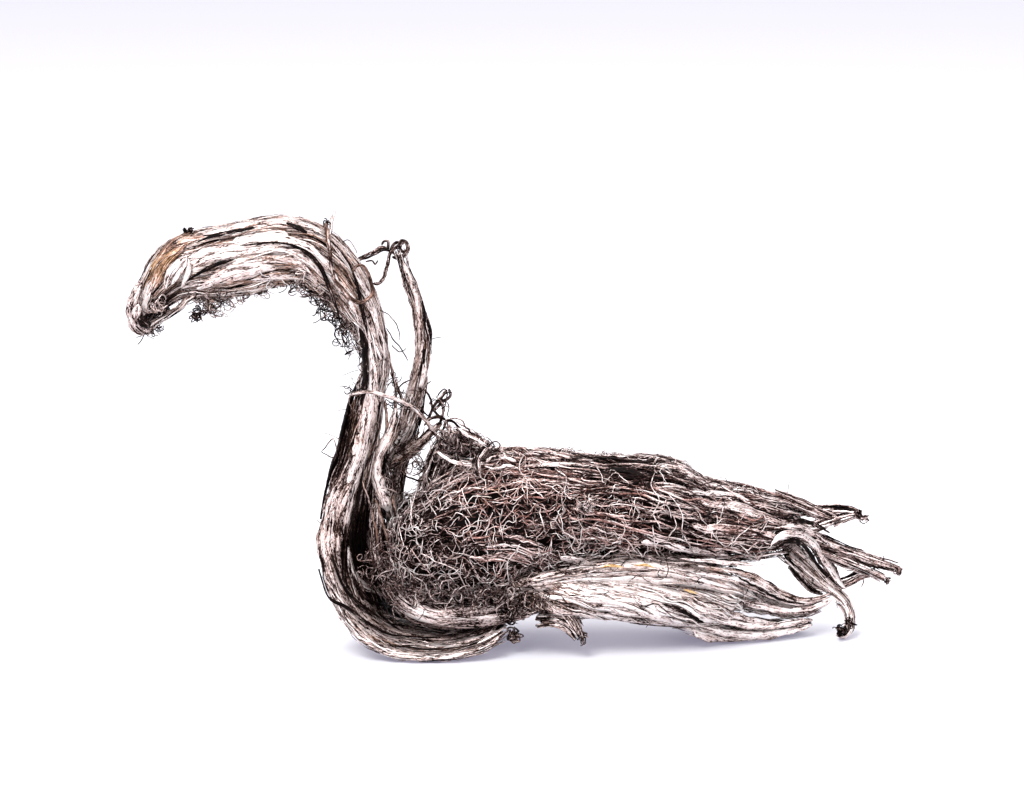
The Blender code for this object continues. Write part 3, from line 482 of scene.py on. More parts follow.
# Flat wires and slits on the lower bundle's arms, in the shoulder wires' columns.
ARM_BANDS_PX = (
    (0.74, 0.05, ((690, 622, -4.6, 0.3), (724, 632, -2.2, 0.6), (758, 635, -0.4, 0.6),
        (790, 631, 1.4, 0.5), (812, 625, 2.8, 0.3))),
    (0.66, 0.1, ((728, 600, -4.2, 0.3), (756, 605, -1.4, 0.5), (786, 611, 0.8, 0.5), (810, 609, 2.2, 0.5),
        (832, 600, 3.6, 0.3))),
    (0.5, 0.4, ((722, 568, -5.6, 0.3), (745, 574, -3.4, 0.5), (762, 582, -1.6, 0.6),
        (784, 594, 0.6, 0.5), (806, 600, 2.2, 0.4), (834, 593, 4.0, 0.2))),
    (0.62, 0.2, ((730, 580, -5.0, 0.3), (752, 587, -2.6, 0.5), (774, 596, -0.4, 0.5),
        (800, 603, 1.8, 0.4), (830, 597, 3.8, 0.2))),
    (0.05, 0.0, ((738, 577, -5.0, 0.1), (760, 589, -2.6, 0.2), (782, 600, 0.0, 0.2),
        (806, 604, 1.8, 0.1))),
    (0.62, 0.1, ((700, 606, -7.0, 0.3), (728, 613, -4.4, 0.5), (756, 621, -1.8, 0.4),
        (780, 624, 0.2, 0.2))),
    (0.66, 0.05, ((708, 617, -6.4, 0.3), (742, 625, -3.0, 0.5), (770, 626, -0.8, 0.5),
        (796, 622, 1.2, 0.5), (813, 620, 2.6, 0.2))),
    (0.74, 0.1, ((680, 559, -8.6, 0.1), (710, 561, -7.0, 0.3), (740, 564, -4.8, 0.3),
        (766, 565, -2.4, 0.1))),
    (0.66, 0.7, ((698, 566, -8.0, 0.1), (716, 569, -6.6, 0.3), (740, 573, -4.4, 0.2),
        (750, 574, -3.4, 0.1))),
    (0.74, 0.1, ((696, 573, -8.0, 0.2), (726, 578, -5.6, 0.4), (752, 583, -3.0, 0.3),
        (770, 592, -1.0, 0.1))),
    (0.74, 1.9, ((600, 567, -10.5, 0.05), (612, 566, -10.6, 0.22), (624, 567, -10.5, 0.05))),
    (0.76, 1.9, ((634, 565, -10.2, 0.05), (644, 565, -10.2, 0.22), (655, 568, -10.0, 0.05))),
    (0.7, 1.9, ((684, 590, -8.8, 0.05), (690, 591, -8.8, 0.2), (698, 594, -8.2, 0.05))),
    (0.05, 0.0, ((662, 604, -9.6, 0.1), (680, 610, -8.8, 0.35), (694, 617, -7.6, 0.3),
        (704, 623, -6.6, 0.1))),
)

# Edges between which strands fan out, each a line of pixel u and v.
SLAB_EDGES_PX = (
    ((512, 562), (540, 553), (575, 548), (610, 549), (650, 553), (690, 558), (725, 566), (750, 576)),
    ((506, 590), (530, 603), (558, 614), (590, 616), (625, 619), (660, 625), (695, 632), (735, 638)),
)
BODY_REAR_EDGES_PX = (
    ((590, 462), (640, 462), (680, 470), (710, 482), (750, 492), (800, 508)),
    ((560, 540), (620, 548), (680, 556), (730, 560), (770, 560), (800, 548)),
)
BODY_TOP_EDGES_PX = (
    ((470, 447), (520, 447), (570, 456), (620, 462), (665, 462)),
    ((470, 474), (520, 476), (570, 482), (620, 486), (665, 480)),
)
BODY_LOW_EDGES_PX = (
    ((465, 537), (500, 533), (540, 540), (566, 548)),
    ((470, 562), (505, 560), (540, 568), (560, 574)),
)

# Wires laid on the body: tone, warmth, radius in mm, and stations of pixel u and v.
BODY_WIRES_PX = (
    (0.73, 0.05, 0.11, ((522, 461), (521, 475), (530, 489), (546, 501))),
    (0.73, 0.05, 0.12, ((520, 543), (508, 558), (506, 578), (494, 590))),
    (0.73, 0.05, 0.1, ((536, 540), (538, 549), (544, 552), (549, 548), (551, 539))),
    (0.68, 0.15, 0.12, ((587, 525), (610, 531), (628, 537), (638, 549))),
    (0.73, 0.1, 0.09, ((593, 469), (603, 480), (605, 488), (615, 480), (630, 489))),
    (0.73, 0.1, 0.1, ((653, 478), (650, 490), (656, 504), (652, 516), (660, 530))),
    (0.73, 0.05, 0.1, ((669, 500), (679, 516), (684, 534), (697, 549))),
    (0.78, 0.05, 0.1, ((695, 515), (709, 530), (725, 542), (747, 527))),
    (0.73, 0.05, 0.11, ((651, 525), (655, 545), (664, 561))),
    (0.48, 0.6, 0.12, ((480, 498), (492, 488), (505, 478), (520, 480), (538, 477))),
    (0.63, 0.25, 0.09, ((504, 496), (514, 503), (526, 498), (540, 504))),
    (0.48, 0.75, 0.11, ((570, 525), (576, 538), (586, 548))),
    (0.73, 0.05, 0.14, ((441, 453), (453, 462), (472, 464), (491, 457))),
    (0.68, 0.1, 0.12, ((421, 552), (445, 563), (459, 572), (472, 594), (489, 606))),
    (0.73, 0.05, 0.11, ((419, 493), (415, 517), (409, 533))),
    (0.68, 0.1, 0.11, ((494, 515), (484, 528), (470, 536), (458, 548))),
    (0.73, 0.05, 0.09, ((430, 500), (442, 495), (452, 503), (446, 513), (436, 510))),
    (0.63, 0.35, 0.11, ((462, 470), (470, 482), (462, 495), (470, 507))),
    (0.73, 0.1, 0.09, ((600, 555), (612, 545), (626, 548), (634, 556))),
    (0.68, 0.1, 0.11, ((556, 474), (566, 484), (562, 496), (572, 504))),
    (0.73, 0.05, 0.09, ((412, 573), (425, 580), (433, 592), (428, 600))),
    (0.7, 0.1, 0.1, ((402, 520), (404, 545), (398, 566), (404, 584))),
    (0.62, 0.5, 0.1, ((412, 548), (424, 566), (436, 578), (446, 594))),
    (0.66, 0.2, 0.1, ((468, 556), (476, 572), (488, 584), (498, 600))),
    (0.73, 0.05, 0.09, ((450, 520), (462, 516), (470, 524), (464, 535), (452, 532))),
    (0.66, 0.3, 0.09, ((636, 505), (648, 512), (662, 508), (672, 518))),
)

# Bands and slits laid on the body, in the columns of the neck's bands.
BODY_BANDS_PX = (
    (0.58, 0.05, ((486, 464, 0.4), (510, 461, 0.6), (528, 458, 0.6), (552, 460, 0.6), (572, 464, 0.4))),
    (0.56, 0.1, ((530, 471, 0.4), (560, 469, 0.5), (590, 470, 0.4))),
    (0.04, 0.0, ((588, 476, 0.2), (612, 475, 0.5), (632, 477, 0.7), (652, 480, 0.4))),
    (0.1, 0.0, ((560, 472, 0.2), (584, 473, 0.4), (604, 470, 0.3))),
    (0.62, 0.1, ((655, 470, 0.5), (676, 472, 0.7), (694, 482, 0.6), (716, 491, 0.5))),
    (0.76, 0.05, ((690, 496, 0.4), (712, 497, 0.6), (733, 500, 0.5), (750, 507, 0.4))),
    (0.38, 0.7, ((704, 486, 0.4), (728, 487, 0.6), (750, 491, 0.6), (785, 499, 0.5))),
    (0.55, 0.2, ((700, 505, 0.5), (730, 510, 0.8), (760, 518, 0.8), (790, 528, 0.6))),
    (0.45, 0.35, ((690, 525, 0.5), (720, 530, 0.7), (752, 533, 0.7), (780, 538, 0.5))),
    (0.7, 0.1, ((640, 538, 0.4), (670, 542, 0.7), (700, 548, 0.7), (730, 552, 0.4))),
    (0.78, 0.05, ((560, 552, 0.5), (585, 558, 0.9), (610, 560, 0.7), (640, 562, 0.4))),
)

# Swells of the mat, each pixel u and v, radius and height in mm.
BODY_MOUNDS_PX = (
    (662, 458, 1.6, 0.8), (505, 458, 3.0, 0.5), (590, 446, 3.0, -0.9), (425, 500, 4.0, -0.5),
    (700, 462, 2.6, -0.9), (630, 446, 2.0, -0.6), (480, 428, 1.6, -0.8),
)

# Where strands are lighter or darker, and where they are rusty: pixel u and v, radius in mm and strength.
NECK_MARKS_PX = {
    "spots": (
        (322, 515, 5.0, -0.26), (325, 570, 4.0, -0.16), (240, 275, 6.0, 0.06), (160, 306, 1.8, -0.6),
        (150, 330, 1.0, -0.3), (366, 545, 3.0, -0.42), (366, 500, 2.0, -0.42), (352, 395, 0.9, -0.6),
        (347, 420, 1.1, -0.7), (341, 445, 1.2, -0.7), (334, 468, 1.0, -0.6), (327, 495, 0.8, -0.4),
        (270, 238, 1.8, 0.15), (420, 630, 6.0, 0.16), (319, 535, 2.0, -0.15), (182, 237, 1.4, -0.14),
        (250, 225, 5.0, 0.05), (245, 288, 4.0, 0.12), (335, 270, 4.0, 0.05), (366, 430, 4.5, -0.17),
        (378, 350, 3.0, 0.05),
    ),
    "warm_spots": (
        (165, 258, 2.5, 0.5), (182, 238, 1.6, 0.8), (320, 262, 2.0, 0.2), (285, 285, 2.0, 0.3),
        (245, 272, 8.0, 0.9), (330, 290, 5.0, 0.7), (366, 430, 5.0, 0.6), (335, 520, 5.0, 0.2),
        (430, 645, 4.0, 0.15),
    ),
}
BODY_MARKS_PX = {
    "spots": (
        (410, 560, 5.0, -0.14), (450, 590, 4.0, -0.08), (588, 475, 1.0, -0.3), (612, 474, 1.2, -0.5),
        (632, 476, 1.2, -0.6), (650, 478, 1.0, -0.5), (700, 560, 3.0, -0.1), (600, 560, 3.0, 0.16),
        (540, 458, 4.0, -0.06), (610, 458, 5.0, -0.12), (670, 470, 4.0, -0.08), (630, 515, 5.0, -0.03),
        (745, 520, 6.0, -0.12), (505, 592, 4.0, 0.09),
    ),
    "warm_spots": (
        (540, 490, 6.0, 0.75), (490, 490, 4.0, 0.6), (620, 515, 6.0, 0.6), (500, 575, 3.0, 0.35),
        (730, 530, 4.0, 0.45), (470, 515, 4.0, 0.45), (400, 560, 3.0, 0.2), (760, 490, 3.0, 0.4),
        (600, 458, 4.0, -0.35),
    ),
}
HOLLOW_TONES_PX = (
    (396, 603, 2.0, 0.18), (420, 612, 2.5, 0.23), (450, 616, 3.0, 0.23), (485, 612, 2.5, 0.18),
)
SLAB_MARKS_PX = {
    "spots": (
        (638, 580, 4.0, 0.18), (690, 600, 5.0, 0.06), (590, 562, 4.0, 0.1), (530, 596, 3.0, -0.12),
        (750, 600, 5.0, 0.16), (710, 622, 4.0, 0.12), (800, 610, 4.0, 0.12),
    ),
    "warm_spots": (
        (630, 567, 2.5, 0.3), (690, 594, 1.5, 0.4), (725, 573, 1.6, 0.6), (800, 606, 1.6, 0.5),
        (560, 600, 2.0, 0.5),
    ),
}
BACK_RUST_PX = ((415, 300, 3.0, 0.6), (418, 350, 3.5, 0.9), (412, 392, 3.0, 0.8), (385, 480, 4.0, 0.9))

# Looks: the warmth at which brown turns to ochre, the floor, the sky, and the lights in m and W.
OCHRE_STARTS, OCHRE_GAIN = 1.5, 3.0
FLOOR_HALF_SIDE = 3.0
FLOOR_PAINT = {
    "Base Color": (0.56, 0.56, 0.56, 1.0),
    "Emission Color": (0.18, 0.17, 0.24, 1.0),
    "Emission Strength": 1.0,
    "Roughness": 0.9,
    "Specular IOR Level": 0.1,
}
SKY_COLOUR, SKY_STRENGTH = (0.98, 0.97, 1.0, 1.0), 1.08
LIGHT_TARGET_HEIGHT = 0.03
LIGHTS = (
    ("key", (-0.20, -0.45, 0.55), 0.35, 6.5),
    ("fill", (0.40, -0.50, 0.30), 0.50, 1.5),
    ("top", (0.05, 0.10, 0.65), 0.35, 3.0),
)

# How ropes are sampled, and how places on them are found under pixels.
ROPE_SAMPLES = 500
THINNEST_SHARE = 0.4  # of a rope's thickness stays, however far it is inset
GRID_RUNS, GRID_ANGLES = 400, 180
FACING_AWAY_PENALTY = 60.0  # in pixels
DISTANCE_PENALTY = 0.05  # in pixels for each mm
EDGE_SAMPLES = 60
ANGLE_JITTER = 0.25  # of a strand's share of the way round
LEAST_REACH = 1.5  # mm on the outside for each radian, so that wires don't spin at a thin end

# Random curves: how their pitches vary, and about how high three added waves reach.
PITCH_RANGE = (0.6, 1.6)
WAVE_PEAK = 1.5

# Ridges of a strand: their pitches in mm, how far they swell, and how much shows in width and light.
RIDGE_PERIODS = (9.0, 23.0)
RIDGE_LIMITS = (0.45, 1.6)
RANDOM_RIDGES, REGULAR_RIDGES = 0.5, 0.8
RIDGE_IN_WIDTH, RIDGE_IN_LIGHT = 0.3, 0.55
# Painted shade: a strand is this much darker at its sides than on top, and twice as much underneath.
UNDERSIDE_SHADE = 0.3  # how much darker a strand is at its sides
GIRTH_OF_HALVES = 3.2  # girth of a strand from its half width and half height together
NOISE_SHIFT = 60.0

# A strand's strip on the map, in shares of its cell, and the two caps beside it.
STRIP_LEFT, STRIP_WIDTH = 0.06, 0.90
STRIP_BOTTOM, STRIP_HEIGHT = 0.08, 0.84
CAP_HALF_WIDTH, CAP_HALF_HEIGHT = 0.012, 0.18
CAP_ALONG, CAP_APART = 0.025, 0.22

# Shapes of single strands.
# The first number is painted shade: the near black of a bundle's inside, seen in the gaps between its
# strands.
CORE_SHADE_TONE, CORE_END_POWER = 0.02, 24
THIN_END = 0.25  # thickness left at a strand's end
BAND_HEIGHT = 0.42  # half height of a band for its half width
BAND_WIDTHS, BAND_HEIGHTS, LAID_BAND_HEIGHTS = (0.2, 1.7), (0.16, 0.55), (0.12, 0.5)  # least and most, in mm
BAND_CROWDING = (0.5, 2.0)  # least and most by which bands narrow or widen with the rope
# Painted shade: by the last number on each of these two lines, bands and fibres that lie deeper are darker.
BAND_LEVELS, BAND_LIGHTS, BAND_DEPTH_SHADE = (-0.45, 0.25), (-0.18, 0.14), 0.45
FIBRE_LEVELS, FIBRE_LIGHTS, FIBRE_DEPTH_SHADE, FIBRE_FLATNESS = (-0.25, 0.25), (-0.45, 0.25), 0.5, 1.25
WALK_LIGHTS, WALK_WARMTHS = (-0.4, 0.4), (-0.1, 0.1)
SHARP_SHARE, SHARPNESS = 0.08, 3.0  # how many walks start with a sharp bend, and how sharp
WALK_BEND_KEPT, WALK_BEND_NOISE = 0.65, 1.3
HAIR_LIGHTS, HAIR_AXIS_SHAKE, HAIR_BEND_SHAKE = (-0.3, 0.4), 0.25, 0.6
CURL_LIGHTS, CURL_AXIS_SHAKE, CURL_BEND_SHAKE = (-0.25, 0.3), 0.2, 0.7
CURL_SCATTER, CURL_THICKNESSES = 0.5, (0.7, 1.4)
FAN_POINTS = 6  # that lay out a strand
FAN_OVERHANG = 0.1  # share of the fan's length by which a strand may start or end outside it
FAN_HEIGHTS = (0.05, 0.3)
FIRST_UP = (0.1, -1.0, 0.2)  # the way that a free wire's side first faces
STEADY_BEND = 0.9  # how much of its bend a curl keeps from step to step
HAIR_STEPS, HAIR_SINK, HAIR_CURL, HAIR_OUTWARD = 9, 0.3, 0.9, 0.5
CURL_STEPS, CURL_BEND, CURL_PULL, CURL_REACH = 14, 1.6, 0.8, (1.5, 5.0)
RIBBON_WIDTH, RIBBON_DEPTH = 0.80, 1.125  # half sizes of a ribbon for its stations' radius

# The stretch of the neck's rope that lies inside the loop of its base: runs in mm and angles.
LOOP_STARTS, LOOP_FADE_IN = 68, 10
LOOP_ENDS, LOOP_FADE_OUT, LOOP_END_SHARE = 96, 8, 0.15
LOOP_ANGLE, LOOP_ARC = math.radians(98), 0.6
LOOP_DARKENING = 0.60

# Heights in mm of the mat's coarse, middling and fine swells, and the share along at which its rear starts.
COARSE_SWELL, MIDDLE_SWELL, FINE_SWELL = 0.42, 0.28, 0.16
REAR_START = 0.6


def between(stations, places):
    """Rows read at places along the stations, where 2.5 is halfway from the third to the fourth."""
    last = len(stations) - 1
    index = np.minimum(places.astype(int), last - 1)
    share = (places - index)[:, None]
    before = stations[np.maximum(index - 1, 0)]
    low, high = stations[index], stations[index + 1]
    after = stations[np.minimum(index + 2, last)]
    return 0.5 * (
        2 * low
        + (high - before) * share
        + (2 * before - 5 * low + 4 * high - after) * share**2
        + (3 * low - before - 3 * high + after) * share**3
    )


def resampled(stations, count):
    """Rows at a count of even places along the stations."""
    return between(stations, np.linspace(0, len(stations) - 1, count))


def unit(vectors):
    return vectors / np.maximum(np.linalg.norm(vectors, axis=-1, keepdims=True), 1e-9)


def lengths_run(points):
    """The length run along each row of points, at each of its points."""
    steps = np.linalg.norm(np.diff(points, axis=1), axis=2)
    return np.concatenate((np.zeros((len(points), 1)), np.cumsum(steps, axis=1)), axis=1)


def waves(chance, run, period, parts=3):
    """Smooth random curves about 0, one for each row of lengths run."""
    count = len(run)
    total = np.zeros_like(run)
    for part in range(1, parts + 1):
        phase = chance.uniform(0, TAU, (count, 1))
        pitch = period * chance.uniform(*PITCH_RANGE, (count, 1)) / part
        total += np.sin(TAU * run / pitch + phase) / part
    return total / WAVE_PEAK


def world_of_pixel(u, v, y):
    """The place that shows at a pixel of the photograph, at a depth of y along the routes."""
    right, down = (np.array((u, v)) - IMAGE_MIDDLE) / FOCAL_PIXELS
    ray = IMAGE_RIGHT * right - IMAGE_UP * down - TO_CAMERA
    return CAMERA_PLACE + ray * ((y + ORIGIN_SHIFT[1] - CAMERA_PLACE[1]) / ray[1])


def pixels_of(places):
    """The pixels of the photograph at which places show."""
    away = places - CAMERA_PLACE
    distance = -(away @ TO_CAMERA)
    right = (away @ IMAGE_RIGHT) / distance * FOCAL_PIXELS
    up = (away @ IMAGE_UP) / distance * FOCAL_PIXELS
    return IMAGE_MIDDLE + np.stack((right, -up), axis=-1)


class Rope:
    """A bundle that follows a route. A place on it is the length run from its start and an angle."""

    def __init__(self, route, inset=0.0):
        stations = np.array(route, float)
        rows = resampled(stations, ROPE_SAMPLES)
        rows[:, 3:5] = np.maximum(rows[:, 3:5] - inset, THINNEST_SHARE * rows[:, 3:5])
        along = unit(np.gradient(rows[:, :3], axis=0))
        straight = np.array((0.0, 1.0, 0.0))
        straight = unit(straight - along * along[:, 1:2])
        across = np.cross(along, straight)
        turned = np.radians(rows[:, 5:6])
        middle = rows[:, :3] + across * rows[:, 4:5] * np.sin(turned) * NEAR_EDGE_HOLD + ORIGIN_SHIFT
        deep = straight * np.cos(turned) + across * np.sin(turned)
        steps = np.linalg.norm(np.diff(middle, axis=0), axis=1)
        self.run = np.concatenate(([0.0], np.cumsum(steps)))
        self.length = self.run[-1]
        self.grid = None
        self.table = np.column_stack((middle, np.cross(along, deep), deep, rows[:, 3:5]))

    def read(self, run):
        """The rope's middle, its ways across and deep, and its half sizes, at lengths run."""
        columns = [np.interp(run, self.run, column) for column in self.table.T]
        rows = np.stack(columns, axis=-1)
        return rows[..., 0:3], rows[..., 3:6], rows[..., 6:9], rows[..., 9], rows[..., 10]

    def surface(self, run, angle, level=0.0):
        """Places on the outside at a level above it, and the directions that face away from it."""
        middle, across, deep, thick, depth = self.read(run)
        sine, cosine = np.sin(angle), np.cos(angle)
        normal = unit(across * (sine / thick)[..., None] + deep * (cosine / depth)[..., None])
        place = middle + across * (sine * thick)[..., None] + deep * (cosine * depth)[..., None]
        return place + normal * (level + np.zeros_like(run))[..., None], normal

    def reach(self, run, angle):
        """Millimetres on the outside for each radian round it."""
        _, _, _, thick, depth = self.read(run)
        return np.sqrt((thick * np.cos(angle)) ** 2 + (depth * np.sin(angle)) ** 2)

    def under_pixels(self, pixels):
        """The run and the angle of the places that show at a line of pixels of the photograph."""
        if self.grid is None:
            angles = np.linspace(0, TAU, GRID_ANGLES, endpoint=False)
            run, angle = np.meshgrid(np.linspace(0, self.length, GRID_RUNS), angles)
            places, normal = self.surface(run, angle)
            distance = (CAMERA_PLACE - places) @ TO_CAMERA
            penalty = FACING_AWAY_PENALTY * (normal @ TO_CAMERA < 0) + DISTANCE_PENALTY * distance
            self.grid = (run, angle, pixels_of(places), penalty)
        run, angle, seen, penalty = self.grid
        found = [np.argmin(np.linalg.norm(seen - pixel, axis=-1) + penalty) for pixel in pixels]
        return run.ravel()[found], np.unwrap(angle.ravel()[found])

    def laid(self, stations, steps):
        """Rows of run, angle and any further columns, along a line through stations of pixel u and v."""
        stations = np.array(stations, float)
        rows = np.column_stack((*self.under_pixels(stations[:, :2]), stations[:, 2:]))
        return resampled(rows, steps).T

    def even_angles(self, count, chance):
        """Angles spread evenly by the distance round the rope's middle section."""
        fine = np.linspace(0, TAU, 361)
        reach = self.reach(np.full_like(fine, self.length / 2), fine)
        travelled = np.concatenate(([0.0], np.cumsum((reach[1:] + reach[:-1]) / 2)))
        wanted = (np.arange(count) + chance.uniform(-ANGLE_JITTER, ANGLE_JITTER, count)) % count / count
        return np.interp(wanted * travelled[-1], travelled, fine)


class Piece:
    """Collects the strands of one piece of the object, and makes its mesh."""

    def __init__(self, name, seed):
        self.name = name
        self.chance = np.random.default_rng(seed)
        self.batches = []

    def add(self, points, up, width, height, tone, warm=0.0, sides=4, ridges=0.0, flat_base=False,
            shade=UNDERSIDE_SHADE):
        """Strands of one make: rows of points, half widths along the surface and half heights off it."""
        count, steps = points.shape[:2]
        along = unit(np.gradient(points, axis=1))
        side = unit(np.cross(along, up))
        up = np.cross(side, along)
        angles = np.linspace(0, TAU, sides, endpoint=False)
        if flat_base:
            top = sides * 3 // 4
            over = np.linspace(0, math.pi, top, endpoint=False)
            angles = np.concatenate((over, np.linspace(math.pi, TAU, sides - top, endpoint=False)))
        zeros = np.zeros((count, steps))
        width, height, tone, warm = width + zeros, height + zeros, tone + zeros, warm + zeros
        run = lengths_run(points)
        swell = np.ones((count, steps, sides))
        if ridges:
            for period in RIDGE_PERIODS:
                turn = TAU * run / period + self.chance.uniform(0, TAU, (count, 1))
                first = self.chance.normal(0, 1, (count, 1, sides))
                second = self.chance.normal(0, 1, (count, 1, sides))
                turning = first * np.cos(turn)[..., None] + second * np.sin(turn)[..., None]
                swell += ridges * RANDOM_RIDGES * turning
            swell += ridges * REGULAR_RIDGES * np.where(np.arange(sides) % 2, 1.0, -1.0)
            swell = np.clip(swell, *RIDGE_LIMITS)
        sine = np.sin(angles)
        wide, high = width[..., None] * np.cos(angles), height[..., None] * sine
        offset = (
            side[:, :, None] * (wide * (1 + (swell - 1) * RIDGE_IN_WIDTH))[..., None]
            + up[:, :, None] * (high * swell)[..., None]
        )
        shift = self.chance.uniform(-NOISE_SHIFT, NOISE_SHIFT, (count, 1, 1, 3))
        fibre = np.stack(np.broadcast_arrays(run[..., None], wide, high), axis=-1)
        ridge_light = (swell - 1) * RIDGE_IN_LIGHT * np.minimum(1.0, tone[..., None] * 2)
        self.batches.append(
            {
                "places": points[:, :, None] + offset,
                # painted shade: darker at the sides and darkest underneath, by shade
                "tone": tone[..., None] * (1 - shade + shade * sine) + ridge_light,
                "warm": warm[..., None] + 0 * sine,
                "fibre": fibre + shift,
                "girth": float(np.mean(width + height)) * GIRTH_OF_HALVES,
                "length": float(np.mean(run[:, -1])),
            }
        )

    def triangles(self):
        total = 0
        for batch in self.batches:
            count, steps, sides = batch["tone"].shape
            total += count * (2 * (steps - 1) * sides + 2 * (sides - 2))
        return total

    def build(self, look, slot, *nodes):
        """The piece's object: every strand a closed tube, with its tone, warmth and fibre direction."""
        mesh = bpy.data.meshes.new(self.name)
        loops, starts, sizes, corners = [], [], [], []
        vertex_count = loop_count = 0
        shares = np.array([len(b["tone"]) * b["girth"] * b["length"] for b in self.batches])
        shelves = np.concatenate(([0.0], np.cumsum(shares / shares.sum())))
        for batch, low, high in zip(self.batches, shelves[:-1], shelves[1:]):
            count, steps, sides = batch["tone"].shape
            ids = vertex_count + np.arange(count * steps * sides).reshape(count, steps, sides)
            turn = np.roll(np.arange(sides), -1)
            first, second = ids[:, :-1], ids[:, 1:]
            quads = np.stack((first, second, second[:, :, turn], first[:, :, turn]), axis=-1)
            caps = np.stack((ids[:, 0], ids[:, -1, ::-1]), axis=1)
            for faces, spots, corner_count in zip((quads, caps), strip_map(batch, low, high), (4, sides)):
                face_count = faces.size // corner_count
                loops.append(faces.ravel())
                corners.append(spots.reshape(-1, 2))
                starts.append(loop_count + corner_count * np.arange(face_count))
                sizes.append(np.full(face_count, corner_count))
                loop_count += faces.size
            vertex_count += ids.size
        mesh.vertices.add(vertex_count)
        mesh.loops.add(loop_count)
        mesh.polygons.add(sum(len(s) for s in starts))
        places = np.concatenate([b["places"].reshape(-1, 3) for b in self.batches])
        places[:, 1] = np.clip(places[:, 1], NEAREST, FARTHEST)
        places[:, 2] = np.maximum(places[:, 2], LOWEST)
        mesh.vertices.foreach_set("co", (places * MM).astype(np.float32).ravel())
        mesh.loops.foreach_set("vertex_index", np.concatenate(loops).astype(np.int32))
        mesh.polygons.foreach_set("loop_start", np.concatenate(starts).astype(np.int32))
        mesh.polygons.foreach_set("loop_total", np.concatenate(sizes).astype(np.int32))
        mesh.update(calc_edges=True)
        mesh.shade_smooth()
        for name, kind, part in (
            ("tone", "FLOAT", "value"),
            ("warm", "FLOAT", "value"),
            ("fibre", "FLOAT_VECTOR", "vector"),
        ):
            values = np.concatenate([b[name].ravel() for b in self.batches]).astype(np.float32)
            mesh.attributes.new(name, kind, "POINT").data.foreach_set(part, values)
        layer = mesh.uv_layers.new(name="OFBake")
        layer.data.foreach_set("uv", np.concatenate(corners).astype(np.float32).ravel())
        mesh.materials.append(look)
        mesh.validate()
        obj = bpy.data.objects.new(self.name, mesh)
        bpy.context.scene.collection.objects.link(obj)
        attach(obj, "root")
        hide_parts(*nodes)
        print(self.name, self.triangles(), "triangles")


def strip_map(batch, low, high):
    """Places on the map, between two heights, for the corners of a batch: one strip for each strand."""
    count, steps, sides = batch["tone"].shape
    columns = max(1, round(math.sqrt(count * batch["girth"] / max(batch["length"], 0.1) / (high - low))))
    rows = math.ceil(count / columns)
    cell_width, cell_height = 1 / columns, (high - low) / rows
    left = (np.arange(count) % columns * cell_width)[:, None, None]
    bottom = (low + np.arange(count) // columns * cell_height)[:, None, None]
    along = left + cell_width * (STRIP_LEFT + STRIP_WIDTH * np.arange(steps)[None, :, None] / (steps - 1))
    round_share = np.arange(sides + 1)[None, None, :] / sides
    around = bottom + cell_height * (STRIP_BOTTOM + STRIP_HEIGHT * round_share)
    along, around = np.broadcast_arrays(along, around)
    grid = np.stack((along, around), axis=-1)
    quads = np.stack((grid[:, :-1, :-1], grid[:, 1:, :-1], grid[:, 1:, 1:], grid[:, :-1, 1:]), axis=-2)
    angles = np.linspace(0, TAU, sides, endpoint=False)
    disc_along = np.cos(angles) * CAP_HALF_WIDTH * cell_width
    disc = np.stack((disc_along, np.sin(angles) * CAP_HALF_HEIGHT * cell_height), axis=-1)
    middle = np.concatenate((left + CAP_ALONG * cell_width, bottom + 0.5 * cell_height), axis=-1)
    start_cap = middle + disc + (0, -CAP_APART * cell_height)
    end_cap = middle + disc[::-1] + (0, CAP_APART * cell_height)
    return quads, np.stack((start_cap, end_cap), axis=1)


def patches(places, spots):
    """How much places on the near side are touched by spots of pixel u and v, radius in mm and strength."""
    total = np.zeros(places.shape[:-1])
    seen = pixels_of(places)
    for u, v, radius, strength in spots:
        away = np.hypot(seen[..., 0] - u, seen[..., 1] - v) / (radius * PIXELS_PER_MM)
        total += strength * np.exp(-0.5 * away**2)
    return total * np.clip((SPOTS_END - places[..., 1]) / SPOTS_FADE, 0, 1)


def no_shadow(run, angle):
    """For ropes on which no shadow is laid."""
    return 0.0


def taper(steps, sharp=0.12):
    """1 in the middle of a strand, falling to a thin point at both ends."""
    share = np.linspace(0, 1, steps)
    ends = np.minimum(share, 1 - share) / sharp
    swelling = np.sin(np.clip(ends, 0, 1) * math.pi / 2)
    return np.clip(THIN_END + (1 - THIN_END) * swelling, THIN_END, 1)[None, :]


def carried_up(points):
    """A direction off each wire, carried along it without twisting."""
    along = unit(np.gradient(points, axis=1))
    up = np.empty_like(points)
    current = np.broadcast_to(np.array(FIRST_UP), points[:, 0].shape)
    for number in range(points.shape[1]):
        ahead = along[:, number]
        current = unit(current - ahead * (current * ahead).sum(-1, keepdims=True))
        up[:, number] = current
    return up


def add_core(piece, rope, share, steps, sides):
    """The inside of a bundle, painted black as the shade in the gaps between its strands."""
    run = np.linspace(0.3, rope.length - 0.3, steps)[None, :]
    middle, across, _, thick, depth = rope.read(run)
    rounding = np.sqrt(np.clip(1 - np.abs(np.linspace(-1, 1, steps)) ** CORE_END_POWER, 0.05, 1))[None, :]
    width, height = depth * share * rounding, thick * share * rounding
    piece.add(middle, across, width, height, CORE_SHADE_TONE, sides=sides, shade=0.0)


